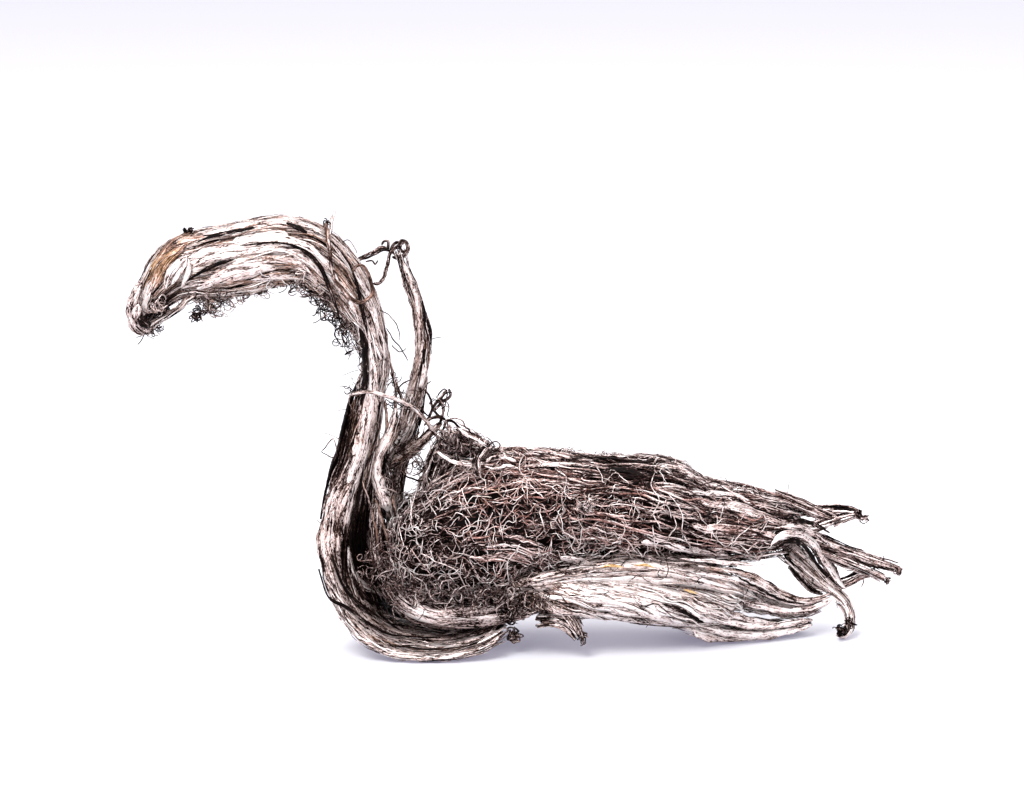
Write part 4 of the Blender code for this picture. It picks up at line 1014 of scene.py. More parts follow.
def add_bands(piece, rope, count, steps, tone, spots=(), warm_spots=(), ragged=4.0, cover=1.25, sides=10,
              lift=0.0, relief=1.0, warm=0.12, shadow=no_shadow):
    """Flat ridged bands that run the length of a bundle side by side and cover its core."""
    chance = piece.chance
    start = chance.uniform(0, ragged, (count, 1))
    end = rope.length - chance.uniform(0, ragged, (count, 1))
    run = start + (end - start) * np.linspace(0, 1, steps)
    angle = rope.even_angles(count, chance)[:, None] + 0.09 * waves(chance, run, 40)
    spacing = rope.reach(run, angle) * TAU / count
    middle_reach = rope.reach(np.full_like(run, rope.length / 2), angle)
    spacing *= np.clip(middle_reach.mean() / middle_reach, *BAND_CROWDING)
    width = np.clip(0.5 * spacing * cover * (1 + 0.3 * waves(chance, run, 16)), *BAND_WIDTHS)
    height = np.clip(BAND_HEIGHT * width, *BAND_HEIGHTS)
    offset = chance.uniform(*BAND_LEVELS, (count, 1)) + 0.3 * waves(chance, run, 17)
    level = lift - 0.2 + relief * offset
    places, normal = rope.surface(run, angle, level - height)
    ends = taper(steps, 0.04)
    # painted shade: bands that lie deeper are darker, and a shadow may be laid on them
    light = tone + chance.uniform(*BAND_LIGHTS, (count, 1)) + BAND_DEPTH_SHADE * offset
    light = light + 0.10 * waves(chance, run, 9) + patches(places, spots) + shadow(run, angle)
    touch = warm + 0.12 * waves(chance, run, 12) + patches(places, warm_spots)
    piece.add(places, normal, width * ends, height * ends, light, touch, sides, ridges=0.18, flat_base=True)


def add_fibres(piece, rope, count, steps, length, radius, tone, spots=(), warm_spots=(), spread=0.08,
               lift=0.1, sides=3, span=(0.0, 1.0), arc=(0.0, TAU), warm=0.12, relief=1.0, shadow=no_shadow):
    """Fine wires that run with a bundle, each for a stretch of its own."""
    chance = piece.chance
    first, last = span[0] * rope.length, span[1] * rope.length
    reach = chance.uniform(*length, (count, 1))
    start = chance.uniform(first - 2, np.maximum(last - reach, first), (count, 1))
    run = np.clip(start + reach * np.linspace(0, 1, steps), first, last - 0.01) + 0.002 * np.arange(steps)
    home = chance.uniform(*arc, (count, 1))
    drift = chance.normal(0, spread * 0.04, (count, 1)) * (run - start)
    angle = home + spread * (waves(chance, run, 24) + 0.4 * waves(chance, run, 6)) + drift
    offset = 0.22 * waves(chance, run, 7) + chance.uniform(*FIBRE_LEVELS, (count, 1))
    places, normal = rope.surface(run, angle, lift + relief * offset)
    thick = chance.uniform(*radius, (count, 1)) * taper(steps)
    # painted shade: fibres that lie deeper are darker
    light = tone + chance.uniform(*FIBRE_LIGHTS, (count, 1)) + FIBRE_DEPTH_SHADE * offset
    light = light + patches(places, spots) + shadow(run, angle)
    touch = warm + 0.2 * waves(chance, run, 10) + patches(places, warm_spots)
    piece.add(places, normal, thick * FIBRE_FLATNESS, thick, light, touch, sides)


def add_walks(piece, rope, count, steps, length, radius, heading, curl, levels, tone, warm=0.1, span=(0, 1),
              arc=(0.0, TAU), spots=(), warm_spots=(), weave=0.25, depth_shade=1.0, kinks=0.3, lumps=None,
              rear_loss=0.0):
    """Bent and kinked wires that wander over a bundle, over and under each other."""
    chance = piece.chance
    run = chance.uniform(*span, count) * rope.length
    angle = chance.uniform(*arc, count)
    if rear_loss:
        kept = chance.random(count) < 1 - rear_loss * (run / rope.length > REAR_START)
        run, angle = run[kept], angle[kept]
        count = len(run)
    step = chance.uniform(*length, count) / (steps - 1)
    head = chance.normal(0, heading, count) + math.pi * chance.integers(0, 2, count)
    bend = chance.normal(0, curl, count) * np.where(chance.random(count) < SHARP_SHARE, SHARPNESS, 1.0)
    runs, angles = np.empty((count, steps)), np.empty((count, steps))
    for number in range(steps):
        runs[:, number], angles[:, number] = run, angle
        run = run + step * np.cos(head)
        run = np.clip(rope.length - np.abs(rope.length - np.abs(run)), 0.0, rope.length)
        angle = angle + step * np.sin(head) / np.maximum(rope.reach(run, angle), LEAST_REACH)
        bend = WALK_BEND_KEPT * bend + chance.normal(0, curl * WALK_BEND_NOISE, count)
        head = head + bend * step + chance.normal(0, kinks, count)
    travelled = step[:, None] * np.arange(steps)
    level = chance.uniform(*levels, (count, 1)) + weave * waves(chance, travelled, 4.0, 2)
    places, normal = rope.surface(runs, angles, level)
    if lumps is not None:
        places = places + normal * lumps(places)[..., None]
    thick = chance.uniform(*radius, (count, 1)) * taper(steps)
    # painted shade: wires that lie deeper in the mat are painted darker
    light = tone + chance.uniform(*WALK_LIGHTS, (count, 1)) + depth_shade * (level - 0.5 * sum(levels))
    light = light + patches(places, spots)
    touch = warm + chance.uniform(*WALK_WARMTHS, (count, 1)) + patches(places, warm_spots)
    piece.add(places, normal, thick, thick, light, touch, 3)


def curled(chance, place, heading, curl, reach, steps, axis_shake, bend_shake, spread=1.0, home=None):
    """Points of wires that set out from places and curl about axes that wander, drawn to a home if any."""
    axis = unit(chance.normal(0, 1, place.shape))
    bend = chance.normal(0, curl, (len(place), 1))
    step = chance.uniform(*reach, (len(place), 1)) * spread / (steps - 1)
    points = np.empty((len(place), steps, 3))
    for number in range(steps):
        points[:, number] = place
        turn = np.cross(axis, heading) * bend
        if home is not None:
            turn = turn + CURL_PULL * ((home - place) / spread**2)
        heading = unit(heading + turn * step)
        axis = unit(axis + chance.normal(0, axis_shake, place.shape))
        bend = STEADY_BEND * bend + chance.normal(0, bend_shake, bend.shape)
        place = place + heading * step
    return points


def add_frays(piece, rope, count, length, radius, span=(0, 1), arc=(0.0, TAU), tone=0.3, warm=0.3):
    """Hairs that leave a bundle and curl in the air."""
    chance = piece.chance
    run = chance.uniform(*span, (count, 1)) * rope.length
    angle = chance.uniform(*arc, (count, 1))
    place, normal = rope.surface(run, angle, -HAIR_SINK)
    ahead, _ = rope.surface(np.minimum(run + 0.5, rope.length), angle, -HAIR_SINK)
    along = unit(ahead - place + 1e-6)[:, 0]
    sideways = along * chance.normal(0, 0.8, (count, 1))
    heading = unit(normal[:, 0] * HAIR_OUTWARD + sideways + chance.normal(0, 0.3, (count, 3)))
    bend_shake = HAIR_CURL * HAIR_BEND_SHAKE
    points = curled(chance, place[:, 0], heading, HAIR_CURL, length, HAIR_STEPS, HAIR_AXIS_SHAKE, bend_shake)
    thick = chance.uniform(*radius, (count, 1)) * taper(HAIR_STEPS)
    light = tone + chance.uniform(*HAIR_LIGHTS, (count, 1))
    piece.add(points, carried_up(points), thick, thick, light, warm, 3)


def add_tangles(piece, clumps):
    """Small tight curls that gather round pixels of the photograph."""
    chance = piece.chance
    rows = np.concatenate([
        np.tile((*world_of_pixel(u, v, y), spread, radius, tone, warm), (count, 1))
        for u, v, y, spread, count, radius, tone, warm in clumps
    ])
    home, spread, radius, tone, warm = np.split(rows, (3, 4, 5, 6), axis=1)
    place = home + chance.normal(0, CURL_SCATTER, home.shape) * spread
    heading = unit(chance.normal(0, 1, home.shape))
    points = curled(chance, place, heading, CURL_BEND, CURL_REACH, CURL_STEPS, CURL_AXIS_SHAKE,
                    CURL_BEND_SHAKE, spread, home)
    thick = radius * chance.uniform(*CURL_THICKNESSES, (len(rows), 1)) * taper(CURL_STEPS)
    light = tone + chance.uniform(*CURL_LIGHTS, (len(rows), 1))
    piece.add(points, carried_up(points), thick, thick, light, warm, 3)


def add_pixel_wires(piece, tables, steps, sides, tone, warm, flat=1.0, ridges=0.0):
    """Single wires through stations of pixel u and v, depth y and radius."""
    chance = piece.chance
    for table in tables:
        stations = np.array([(*world_of_pixel(u, v, y), radius) for u, v, y, radius in table])
        rows = resampled(stations, steps)[None]
        run = lengths_run(rows[..., :3])
        shake = np.stack([waves(chance, run, 3.0, 2) for _ in range(3)], axis=-1)
        points = rows[..., :3] + 0.06 * shake
        radius = rows[..., 3] * taper(steps, 0.08) * (1 + 0.12 * waves(chance, run, 2.5))
        light = tone + 0.15 * waves(chance, run, 5)
        piece.add(points, carried_up(points), radius, radius * flat, light, warm, sides, ridges)


def add_flat_wires(piece, tables):
    """Flat ridged wires: tone, warmth, and stations of pixel u and v, depth y and half width."""
    for tone, warm, table in tables:
        add_pixel_wires(piece, [table], 44, 12, tone, warm, flat=0.3, ridges=0.2)


def column(tables, number):
    """One number from each table, as a column."""
    return np.array([[table[number]] for table in tables])


def add_laid_bands(piece, rope, tables, steps, sides, lift=0.15):
    """Flat ridged bands laid on a rope, through stations of pixel u and v and half width."""
    chance = piece.chance
    run, angle, width = np.stack([rope.laid(table[2], steps) for table in tables], axis=1)
    width = width * (1 + 0.22 * waves(chance, run, 7)) * taper(steps, 0.08)
    height = np.clip(BAND_HEIGHT * width, *LAID_BAND_HEIGHTS)
    places, normal = rope.surface(run, angle, lift + 0.12 * waves(chance, run, 7) - 0.5 * height)
    light = column(tables, 0) + 0.14 * waves(chance, run, 6)
    touch = column(tables, 1) + 0.1 * waves(chance, run, 9)
    piece.add(places, normal, width, height, light, touch, sides, ridges=0.2, flat_base=True)


def add_laid_wires(piece, rope, tables, steps=28, sides=4, lift=1.0):
    """Wires laid on a rope, through stations of pixel u and v."""
    chance = piece.chance
    radius = 0.8 * column(tables, 2) * taper(steps)
    run, angle = np.stack([rope.laid(table[3], steps) for table in tables], axis=1)
    run, angle = run + 0.25 * waves(chance, run, 3), angle + 0.025 * waves(chance, run, 3)
    places, normal = rope.surface(run, angle, lift + 0.15 * waves(chance, run, 6))
    light = column(tables, 0) + 0.1 * waves(chance, run, 5)
    piece.add(places, normal, radius, radius, light, column(tables, 1), sides)


def add_fan(piece, rope, edges, count, width, tone, warm, lift, steps, sides=5, spots=(), warm_spots=(),
            slant=0.0, reach=(0.3, 0.9), spread=0.3):
    """Strands laid on a rope side by side between two edge lines, each for a stretch of its own."""
    chance = piece.chance
    first, last = (resampled(np.array(edge, float), EDGE_SAMPLES) for edge in edges)
    lines = []
    for number in range(count):
        length = chance.uniform(*reach)
        start = chance.uniform(-FAN_OVERHANG, 1 + FAN_OVERHANG - length)
        share = start + length * np.linspace(0, 1, FAN_POINTS)
        across = (number + chance.uniform(0, 1)) / count + slant * (share - 0.5)
        across = across + chance.normal(0, 0.02, FAN_POINTS)
        share, across = np.clip(share, 0, 1) * (EDGE_SAMPLES - 1), np.clip(across, 0, 1)[:, None]
        lines.append(rope.laid((1 - across) * between(first, share) + across * between(last, share), steps))
    run, angle = np.stack(lines, axis=1)
    offset = chance.uniform(-1, 1, (count, 1)) + 0.4 * waves(chance, run, 9)
    half = chance.uniform(*width, (count, 1)) * (1 + 0.25 * waves(chance, run, 5)) * taper(steps, 0.2)
    places, normal = rope.surface(run, angle, lift + 0.2 * offset)
    # painted shade: strands that lie lower are a little darker
    light = tone + chance.uniform(-spread, spread, (count, 1)) + 0.12 * offset + patches(places, spots)
    touch = warm + 0.2 * waves(chance, run, 8) + patches(places, warm_spots)
    piece.add(places, normal, half, np.clip(0.6 * half, *FAN_HEIGHTS), light, touch, sides)


def add_ribbon(piece, stations, bands, fibres, tone, warm=0.3, hairs=0):
    """A ribbon of a few bands and fine wires round stations of x, y, z and radius, with loose hairs."""
    rope = Rope([(x, y, z, RIBBON_WIDTH * r, RIBBON_DEPTH * r, 0) for x, y, z, r in stations])
    steps = max(16, int(rope.length * 1.8))
    add_core(piece, rope, 0.7, 24, 8)
    add_bands(piece, rope, bands, steps, tone, ragged=1.2, cover=0.95, lift=0.12, relief=0.5, warm=warm)
    add_fibres(piece, rope, fibres, 12, (2, 9), (0.08, 0.15), tone + 0.05, spread=0.2, sides=4, warm=warm,
               relief=0.5)
    add_fibres(piece, rope, bands, 10, (2, 7), (0.08, 0.16), 0.08, spread=0.2, lift=0.15, warm=0.1,
               relief=0.5)
    if hairs:
        add_frays(piece, rope, hairs, (1.0, 3.5), (0.05, 0.11), tone=tone - 0.15, warm=warm)


def silver_look(name, rough, pale, rust, streak):
    """Tarnished silver: pale worn ridges, black hollows, fine streaks along the fibres, rusty touches.
    Its tone also carries painted shade, which the same ramp turns dark.
    """
    made = bpy.data.materials.new(name)
    made.use_nodes = True
    tree = made.node_tree
    shader = tree.nodes["Principled BSDF"]
    shader.inputs["Specular IOR Level"].default_value = 0.03

    def node(kind, **settings):
        made_node = tree.nodes.new(kind)
        for setting, value in settings.items():
            setattr(made_node, setting, value)
        return made_node

    def feed(target, **sources):
        """Sets or links a node's inputs, by their names with _ for spaces."""
        for socket, source in sources.items():
            entry = target.inputs[socket.replace("_", " ")]
            if isinstance(source, bpy.types.NodeSocket):
                tree.links.new(source, entry)
            else:
                entry.default_value = source

    def attribute(kind, output):
        return node("ShaderNodeAttribute", attribute_name=kind).outputs[output]

    def math_node(operation, first, second, clamp=False):
        made_math = node("ShaderNodeMath", operation=operation, use_clamp=clamp)
        for entry, source in zip(made_math.inputs, (first, second)):
            if isinstance(source, bpy.types.NodeSocket):
                tree.links.new(source, entry)
            else:
                entry.default_value = source
        return made_math.outputs[0]

    def noise(along, scale, detail):
        """Noise in lumps of 1 / scale mm, drawn out along the fibres by 1 / along."""
        stretched = node("ShaderNodeMapping")
        feed(stretched, Vector=fibre, Scale=(along, 1.0, 1.0))
        made_noise = node("ShaderNodeTexNoise")
        feed(made_noise, Vector=stretched.outputs["Vector"], Scale=scale, Detail=detail, Roughness=0.6)
        return made_noise.outputs["Fac"]

    def beyond(source, threshold, gain, clamp=False):
        return math_node("MULTIPLY", math_node("SUBTRACT", source, threshold), gain, clamp)

    def ramp(source, *stops):
        made_ramp = node("ShaderNodeValToRGB")
        elements = made_ramp.color_ramp.elements
        for element, (position, colour) in zip(elements, (stops[0], stops[-1])):
            element.position, element.color = position, (*colour, 1)
        for position, colour in stops[1:-1]:
            elements.new(position).color = (*colour, 1)
        feed(made_ramp, Fac=source)
        return made_ramp.outputs["Color"]

    def mix(amount, first, second):
        made_mix = node("ShaderNodeMix", data_type="RGBA")
        feed(made_mix, Factor=amount, A=first, B=second)
        return made_mix.outputs["Result"]

    tone, warm, fibre = attribute("tone", "Fac"), attribute("warm", "Fac"), attribute("fibre", "Vector")
    streaks = noise(0.05, 7.0, 3.0)
    grain = noise(0.35, 8.0, 2.0)
    blotches = noise(0.3, 1.1, 2.0)
    rust_spots = noise(0.25, 0.8, 3.0)
    cracks = beyond(noise(0.06, 4.0, 2.0), 0.57, 9.0, clamp=True)
    # The dark flecks also stand in as painted shade for the breaks that crossing wires cast along a wire.
    flecks_and_shade = beyond(noise(0.3, 4.6, 2.0), 0.57, 8.0, clamp=True)
    value = tone
    for source, share in ((streaks, 1.0), (grain, 0.9), (blotches, 0.25)):
        value = math_node("ADD", value, beyond(source, 0.5, streak * share))
    value = math_node("SUBTRACT", value, math_node("MULTIPLY", cracks, 0.55))
    value = math_node("SUBTRACT", value, math_node("MULTIPLY", flecks_and_shade, 0.5), clamp=True)
    silver = ramp(
        value,
        (0.00, (0.002, 0.001, 0.001)),
        (0.25, (0.010, 0.004, 0.003)),
        (0.36, (0.140, 0.096, 0.090)),
        (0.53, (0.600, 0.480, 0.458)),
        (0.74, pale),
        (1.00, (0.80, 0.77, 0.76)),
    )
    rusty = ramp(
        value,
        (0.00, (0.006, 0.002, 0.002)),
        (0.40, [0.45 * c for c in rust]),
        (0.60, rust),
        (0.82, [0.34 + 0.95 * c for c in rust]),
        (1.00, (0.80, 0.73, 0.69)),
    )
    ochre = ramp(
        value,
        (0.00, (0.010, 0.004, 0.001)),
        (0.50, (0.40, 0.22, 0.09)),
        (1.00, (0.84, 0.65, 0.38)),
    )
    rust_amount = math_node("ADD", beyond(rust_spots, 0.5, 5.0), 0.6)
    rust_amount = math_node("MULTIPLY", rust_amount, warm, clamp=True)
    colour = mix(rust_amount, silver, rusty)
    colour = mix(beyond(warm, OCHRE_STARTS, OCHRE_GAIN, clamp=True), colour, ochre)

    bump = node("ShaderNodeBump")
    feed(bump, Height=streaks, Strength=0.6, Distance=0.00012)
    feed(
        shader,
        Base_Color=colour,
        Metallic=math_node("MULTIPLY", value, 0.9, clamp=True),
        Roughness=math_node("ADD", math_node("MULTIPLY", blotches, 0.25), rough),
        Normal=bump.outputs["Normal"],
    )
    return made


def loop_shadow(run, angle):
    """How much darker the neck's strands are inside the loop of its base."""
    inside = np.clip((run - LOOP_STARTS) / LOOP_FADE_IN, 0, 1)
    inside = inside * np.clip((LOOP_ENDS - run) / LOOP_FADE_OUT, LOOP_END_SHARE, 1)
    return -LOOP_DARKENING * inside * np.exp(-(((angle - LOOP_ANGLE) / LOOP_ARC) ** 2))


def swells(places):
    """How far the mat of the body swells out or sinks, in mm."""
    x, y, z = np.moveaxis(places, -1, 0)
    rise = COARSE_SWELL * np.sin(0.75 * x + 0.5 * z + 1.0) * np.cos(0.7 * z - 0.4 * x + 0.6 * y)
    rise += (
        MIDDLE_SWELL * np.sin(1.5 * x - 1.3 * z + 0.8 * y + 2.0)
        + FINE_SWELL * np.sin(2.6 * x + 2.3 * z + 1.9 * y)
    )
    return rise + patches(places, BODY_MOUNDS_PX)


def arc_of(first, last):
    """A range of angles from degrees: 90 is on top where a rope runs to +X, and 180 is its near side."""
    return math.radians(first), math.radians(last)


# Below, a make of strands is given by its count, its steps, and then lengths, radii and widths in mm,
# each a least and a most. Tone is 0 for black and 1 for pale, and warmth is 1 for brown and 2 for ochre.

def build_neck(look):
    rope = Rope(NECK_ROUTE, inset=0.45)
    bands = Piece("neck_bands", 11)
    add_core(bands, rope, 0.82, 100, 18)
    add_bands(bands, rope, 32, 78, 0.77, **NECK_MARKS_PX, sides=8, shadow=loop_shadow, warm=0.25)
    add_laid_bands(bands, rope, NECK_BANDS_PX, 54, 12)
    add_laid_bands(bands, rope, NECK_SLITS_PX, 40, 8, lift=0.8)
    bands.build(look, "silver", "neck_and_head")

    wires = Piece("neck_wires", 12)
    add_fibres(wires, rope, 460, 12, (4, 18), (0.05, 0.12), 0.71, **NECK_MARKS_PX, shadow=loop_shadow)
    add_fibres(wires, rope, 220, 9, (2, 8), (0.03, 0.07), 0.53, **NECK_MARKS_PX, lift=0.25, span=(0.03, 0.6),
               arc=arc_of(95, 265))
    add_fibres(wires, rope, 130, 10, (4, 12), (0.03, 0.06), 0.32, **NECK_MARKS_PX, lift=0.2, span=(0.5, 1.0),
               arc=arc_of(110, 265))
    add_fibres(wires, rope, 160, 30, (20, 60), (0.06, 0.15), 0.74, **NECK_MARKS_PX, shadow=loop_shadow)
    add_pixel_wires(wires, BLADES_PX, 20, 10, 0.70, 0.1, flat=0.35, ridges=0.15)
    add_pixel_wires(wires, SNOUT_PX, 24, 10, 0.50, 0.1, flat=0.5, ridges=0.15)
    add_pixel_wires(wires, [SNOUT_PATCH_PX], 12, 8, 0.14, 0.0, flat=0.4)
    arch, inner = (0.12, 0.50), arc_of(225, 315)
    add_walks(wires, rope, 190, 14, (3, 9), (0.06, 0.12), 1.2, 0.8, (-0.1, 0.6), 0.35, 0.3, arch, inner)
    add_frays(wires, rope, 90, (1.5, 5.0), (0.04, 0.08), arch, inner, tone=0.25)
    add_frays(wires, rope, 16, (0.6, 1.8), (0.04, 0.07), (0.0, 0.12), arc_of(200, 340))
    add_frays(wires, rope, 30, (1.0, 4.0), (0.04, 0.08), (0.50, 0.82), arc_of(230, 310))
    add_tangles(wires, NECK_TANGLES_PX)
    add_pixel_wires(wires, [HOOK_WIRE_PX], 80, 8, 0.32, 0.6)
    add_pixel_wires(wires, [TOP_WIRE_PX], 20, 6, 0.62, 0.2)
    add_pixel_wires(wires, HAIRS_PX, 20, 5, 0.3, 0.2)
    add_ribbon(wires, JAW, 5, 14, 0.55, 0.4, hairs=14)
    wires.build(look, "silver", "neck_and_head")


def build_back(look):
    rope = Rope(BACK_ROUTE, inset=0.3)
    piece = Piece("back_strand_wires", 23)
    add_core(piece, rope, 0.75, 60, 12)
    add_bands(piece, rope, 9, 80, 0.60, warm_spots=BACK_RUST_PX, ragged=1.0, relief=0.6)
    add_laid_bands(piece, rope, BACK_BANDS_PX, 40, 8, lift=0.25)
    add_fibres(piece, rope, 130, 18, (4, 16), (0.06, 0.12), 0.58, warm_spots=BACK_RUST_PX, spread=0.15,
               warm=0.2)
    add_frays(piece, rope, 24, (1.0, 4.0), (0.04, 0.08), (0.3, 1.0))
    add_ribbon(piece, REAR_FORK, 6, 20, 0.36, 0.35, hairs=16)
    add_ribbon(piece, BRANCH, 5, 16, 0.42, 0.6, hairs=24)
    add_pixel_wires(piece, KNOT_WIRES_PX, 44, 7, 0.30, 0.25)
    add_pixel_wires(piece, [CROSS_WIRE_PX], 60, 7, 0.62, 0.35)
    add_pixel_wires(piece, DARK_CURLS_PX, 26, 5, 0.25, 0.3)
    add_pixel_wires(piece, NECK_SIDE_WIRES_PX, 36, 5, 0.44, 0.8)
    add_tangles(piece, BACK_TANGLES_PX)
    add_pixel_wires(piece, [KNEE_BAND_PX], 50, 12, 0.70, 0.40, flat=0.35, ridges=0.2)
    piece.build(look, "silver", "back_strand")


def build_body(look):
    rope = Rope(BODY_ROUTE, inset=1.0)
    strands = Piece("body_strands", 31)
    add_core(strands, rope, 0.88, 60, 20)
    # Dark bands sunk under the mat, painted near black as the shade between its wires.
    add_bands(strands, rope, 32, 28, 0.06, BODY_MARKS_PX["spots"], ragged=1.5, sides=8, lift=-0.3, warm=0.0)
    add_fibres(strands, rope, 160, 18, (6, 26), (0.06, 0.16), 0.58, **BODY_MARKS_PX, lift=0.3,
               span=(0.12, 1.0), arc=arc_of(60, 150), spread=0.06)
    add_fibres(strands, rope, 220, 16, (6, 22), (0.05, 0.14), 0.54, **BODY_MARKS_PX, lift=0.35,
               span=(0.62, 1.0))
    for edges, count, width, tone in (
        (BODY_REAR_EDGES_PX, 140, (0.06, 0.24), 0.48),
        (BODY_TOP_EDGES_PX, 50, (0.08, 0.28), 0.50),
        (BODY_LOW_EDGES_PX, 60, (0.08, 0.22), 0.40),
    ):
        add_fan(strands, rope, edges, count, width, tone, 0.25, 0.7, 16, **BODY_MARKS_PX, slant=0.15,
                reach=(0.12, 0.45), spread=0.45)
    add_laid_bands(strands, rope, BODY_BANDS_PX, 36, 8, lift=0.8)
    add_laid_wires(strands, rope, BODY_WIRES_PX)
    add_flat_wires(strands, HOOKED_STRAND_PX)
    strands.build(look, "tarnished_silver", "body")

    mat = {**BODY_MARKS_PX, "lumps": swells}
    # The inner mat lies deeper and is painted darker than the outer one, as shade.
    inner = Piece("body_inner_mat", 32)
    add_walks(inner, rope, 2500, 8, (2, 6), (0.05, 0.11), 0.8, 0.4, (-0.4, 0.3), 0.33, 0.25, (0.0, 0.92),
              **mat, depth_shade=1.4, rear_loss=0.45)
    inner.build(look, "tarnished_silver", "body")

    outer = Piece("body_outer_mat", 33)
    add_walks(outer, rope, 3500, 9, (1.5, 6), (0.04, 0.08), 0.9, 0.4, (0.1, 0.8), 0.58, 0.3, (0.0, 0.92),
              **mat, depth_shade=1.3, weave=0.2, rear_loss=0.60)
    add_walks(outer, rope, 620, 8, (1, 3.5), (0.03, 0.06), 1.2, 0.5, (0.4, 1.0), 0.50, 0.35, (0.02, 0.6),
              **mat, kinks=0.4, weave=0.2)
    add_frays(outer, rope, 80, (1.0, 3.0), (0.04, 0.07), (0.0, 0.9), tone=0.4)
    outer.build(look, "tarnished_silver", "body")

    fillers = Piece("body_hollow_wires", 34)
    # The strands in the hollow are painted dark, as the shade in the recess inside the base loop.
    for route, tone, spots in ((HOLLOW_ROUTE, 0.14, HOLLOW_TONES_PX), (SHOULDER_ROUTE, 0.40, ())):
        filler = Rope(route, inset=0.5)
        add_core(fillers, filler, 0.75, 40, 12)
        add_bands(fillers, filler, 14, 30, tone, spots, ragged=2.0, sides=8, lift=-0.2, relief=0.7)
        add_fibres(fillers, filler, 70, 16, (4, 14), (0.06, 0.13), tone + 0.14, spots)
        add_walks(fillers, filler, 110, 13, (2, 7), (0.05, 0.10), 1.0, 0.4, (-0.2, 0.6), tone + 0.18, 0.3)
    add_tangles(fillers, BODY_TANGLES_PX)
    add_flat_wires(fillers, SHOULDER_WIRES_PX)
    fillers.build(look, "tarnished_silver", "body")


def build_lower(look):
    piece = Piece("lower_bundle_strands", 41)
    slab = Rope(LOWER_ROUTE, inset=0.35)
    for rope, bands, fibres in (
        (slab, 20, 120),
        (Rope(UPPER_FORK_ROUTE, inset=0.35), 14, 90),
        (Rope(LOWER_FORK_ROUTE, inset=0.35), 12, 80),
    ):
        add_core(piece, rope, 0.8, 40, 14)
        add_bands(piece, rope, bands, 34, 0.66, **SLAB_MARKS_PX, ragged=2.5, sides=8)
        add_fibres(piece, rope, fibres, 14, (3, 16), (0.05, 0.12), 0.64, **SLAB_MARKS_PX)
        add_frays(piece, rope, 12, (1.0, 3.0), (0.04, 0.08), tone=0.35)
    add_fan(piece, slab, SLAB_EDGES_PX, 90, (0.20, 0.60), 0.66, 0.05, 0.2, 18, 6, **SLAB_MARKS_PX,
            slant=0.35)
    add_fan(piece, slab, SLAB_EDGES_PX, 150, (0.06, 0.16), 0.48, 0.1, 0.5, 12, 4, **SLAB_MARKS_PX,
            slant=0.35, reach=(0.06, 0.3), spread=0.5)
    add_flat_wires(piece, ARM_BANDS_PX)
    add_tangles(piece, LOWER_TANGLES_PX)
    add_ribbon(piece, FOOT, 9, 30, 0.68, 0.2)
    add_ribbon(piece, FOOT_ROOT, 7, 24, 0.62, 0.2)
    piece.build(look, "silver", "lower_bundle")

    crease = Piece("lower_crease_wires", 42)
    for route in (FRONT_CREASE_ROUTE, BACK_CREASE_ROUTE):
        rope = Rope(route, inset=0.3)
        add_core(crease, rope, 0.75, 30, 10)
        add_bands(crease, rope, 12, 26, 0.68, **SLAB_MARKS_PX, ragged=2.0, sides=8, relief=0.7)
        add_fibres(crease, rope, 90, 14, (4, 14), (0.05, 0.12), 0.66, **SLAB_MARKS_PX, spread=0.12)
        add_walks(crease, rope, 90, 13, (2, 7), (0.05, 0.10), 0.8, 0.8, (0.0, 0.5), 0.42, 0.3,
                  warm_spots=SLAB_MARKS_PX["warm_spots"])
    crease.build(look, "silver", "lower_bundle")


def build_tail(look, slot, cad_node, seed, tables, tone):
    piece = Piece(cad_node + "_wires", seed)
    for table in tables:
        add_ribbon(piece, table, 7, 32, tone, hairs=4)
    add_tangles(piece, TIP_TANGLES_PX[cad_node])
    piece.build(look, slot, cad_node)


def area_light(name, place, size, power):
    """A round light that faces the specimen's middle."""
    light = bpy.data.lights.new(name, "AREA")
    light.shape = "DISK"
    light.size = size
    light.energy = power
    obj = bpy.data.objects.new(name, light)
    obj.location = place
    x, y, z = unit(np.array((0.0, 0.0, LIGHT_TARGET_HEIGHT)) - np.array(place))
    obj.rotation_euler = (math.acos(-z), 0.0, math.atan2(y, x) - math.pi / 2)
    bpy.context.scene.collection.objects.link(obj)


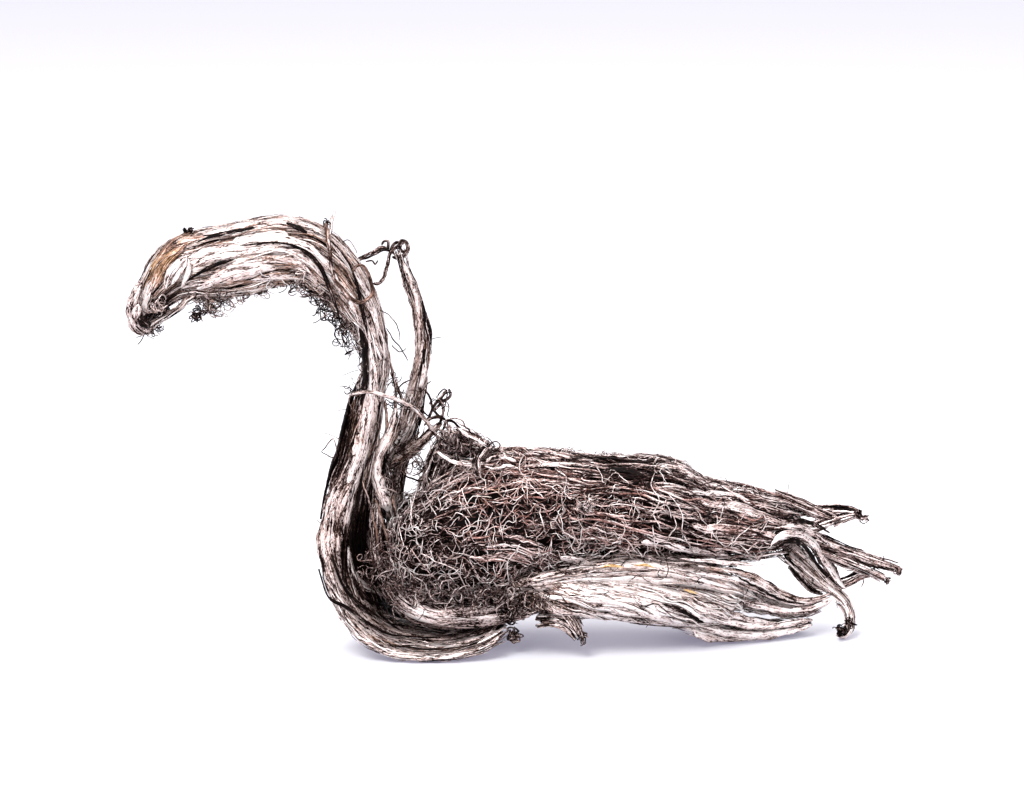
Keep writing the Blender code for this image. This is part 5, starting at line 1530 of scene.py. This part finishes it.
def set_stage():
    """A pale floor, lit a little from below, under soft light."""
    mesh = bpy.data.meshes.new("floor")
    corners = ((-1, -1), (1, -1), (1, 1), (-1, 1))
    mesh.from_pydata([(x * FLOOR_HALF_SIDE, y * FLOOR_HALF_SIDE, 0) for x, y in corners], [], [(0, 1, 2, 3)])
    floor = bpy.data.objects.new("floor", mesh)
    bpy.context.scene.collection.objects.link(floor)
    paint = bpy.data.materials.new("floor_paint")
    paint.use_nodes = True
    shader = paint.node_tree.nodes["Principled BSDF"]
    for socket, value in FLOOR_PAINT.items():
        shader.inputs[socket].default_value = value
    floor.data.materials.append(paint)

    world = bpy.data.worlds.new("studio")
    world.use_nodes = True
    world.node_tree.nodes["Background"].inputs["Color"].default_value = SKY_COLOUR
    world.node_tree.nodes["Background"].inputs["Strength"].default_value = SKY_STRENGTH
    bpy.context.scene.world = world
    bpy.context.scene.view_settings.view_transform = "Standard"
    for light in LIGHTS:
        area_light(*light)


def set_camera():
    """The photograph's view, from a little above the specimen."""
    data = bpy.data.cameras.new("camera")
    data.lens = LENS
    data.sensor_width = SENSOR
    data.clip_start = 0.01
    camera = bpy.data.objects.new("camera", data)
    camera.location = CAMERA_PLACE * MM
    camera.rotation_euler = (math.pi / 2 - LOOK_DOWN, 0.0, 0.0)
    bpy.context.scene.collection.objects.link(camera)
    bpy.context.scene.camera = camera


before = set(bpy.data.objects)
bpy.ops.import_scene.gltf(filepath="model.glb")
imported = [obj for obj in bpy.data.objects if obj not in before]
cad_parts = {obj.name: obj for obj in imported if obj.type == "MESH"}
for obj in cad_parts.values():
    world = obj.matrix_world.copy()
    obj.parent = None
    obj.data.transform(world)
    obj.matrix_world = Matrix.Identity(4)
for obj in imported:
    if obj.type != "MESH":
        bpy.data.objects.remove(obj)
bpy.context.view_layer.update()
set_camera()
set_stage()
silver = silver_look("silver_fibres", 0.30, (0.80, 0.725, 0.710), (0.40, 0.22, 0.16), 1.2)
dark_silver = silver_look("dark_silver_wires", 0.34, (0.80, 0.720, 0.710), (0.40, 0.19, 0.16), 1.4)
build_neck(silver)
build_back(silver)
build_body(dark_silver)
build_lower(silver)
build_tail(dark_silver, "tarnished_silver", "upper_tail", 51, UPPER_TAIL, 0.62)
build_tail(dark_silver, "tarnished_silver", "middle_tail", 52, MIDDLE_TAIL, 0.52)
build_tail(silver, "silver", "curled_tail", 53, CURLED_TAIL, 0.70)
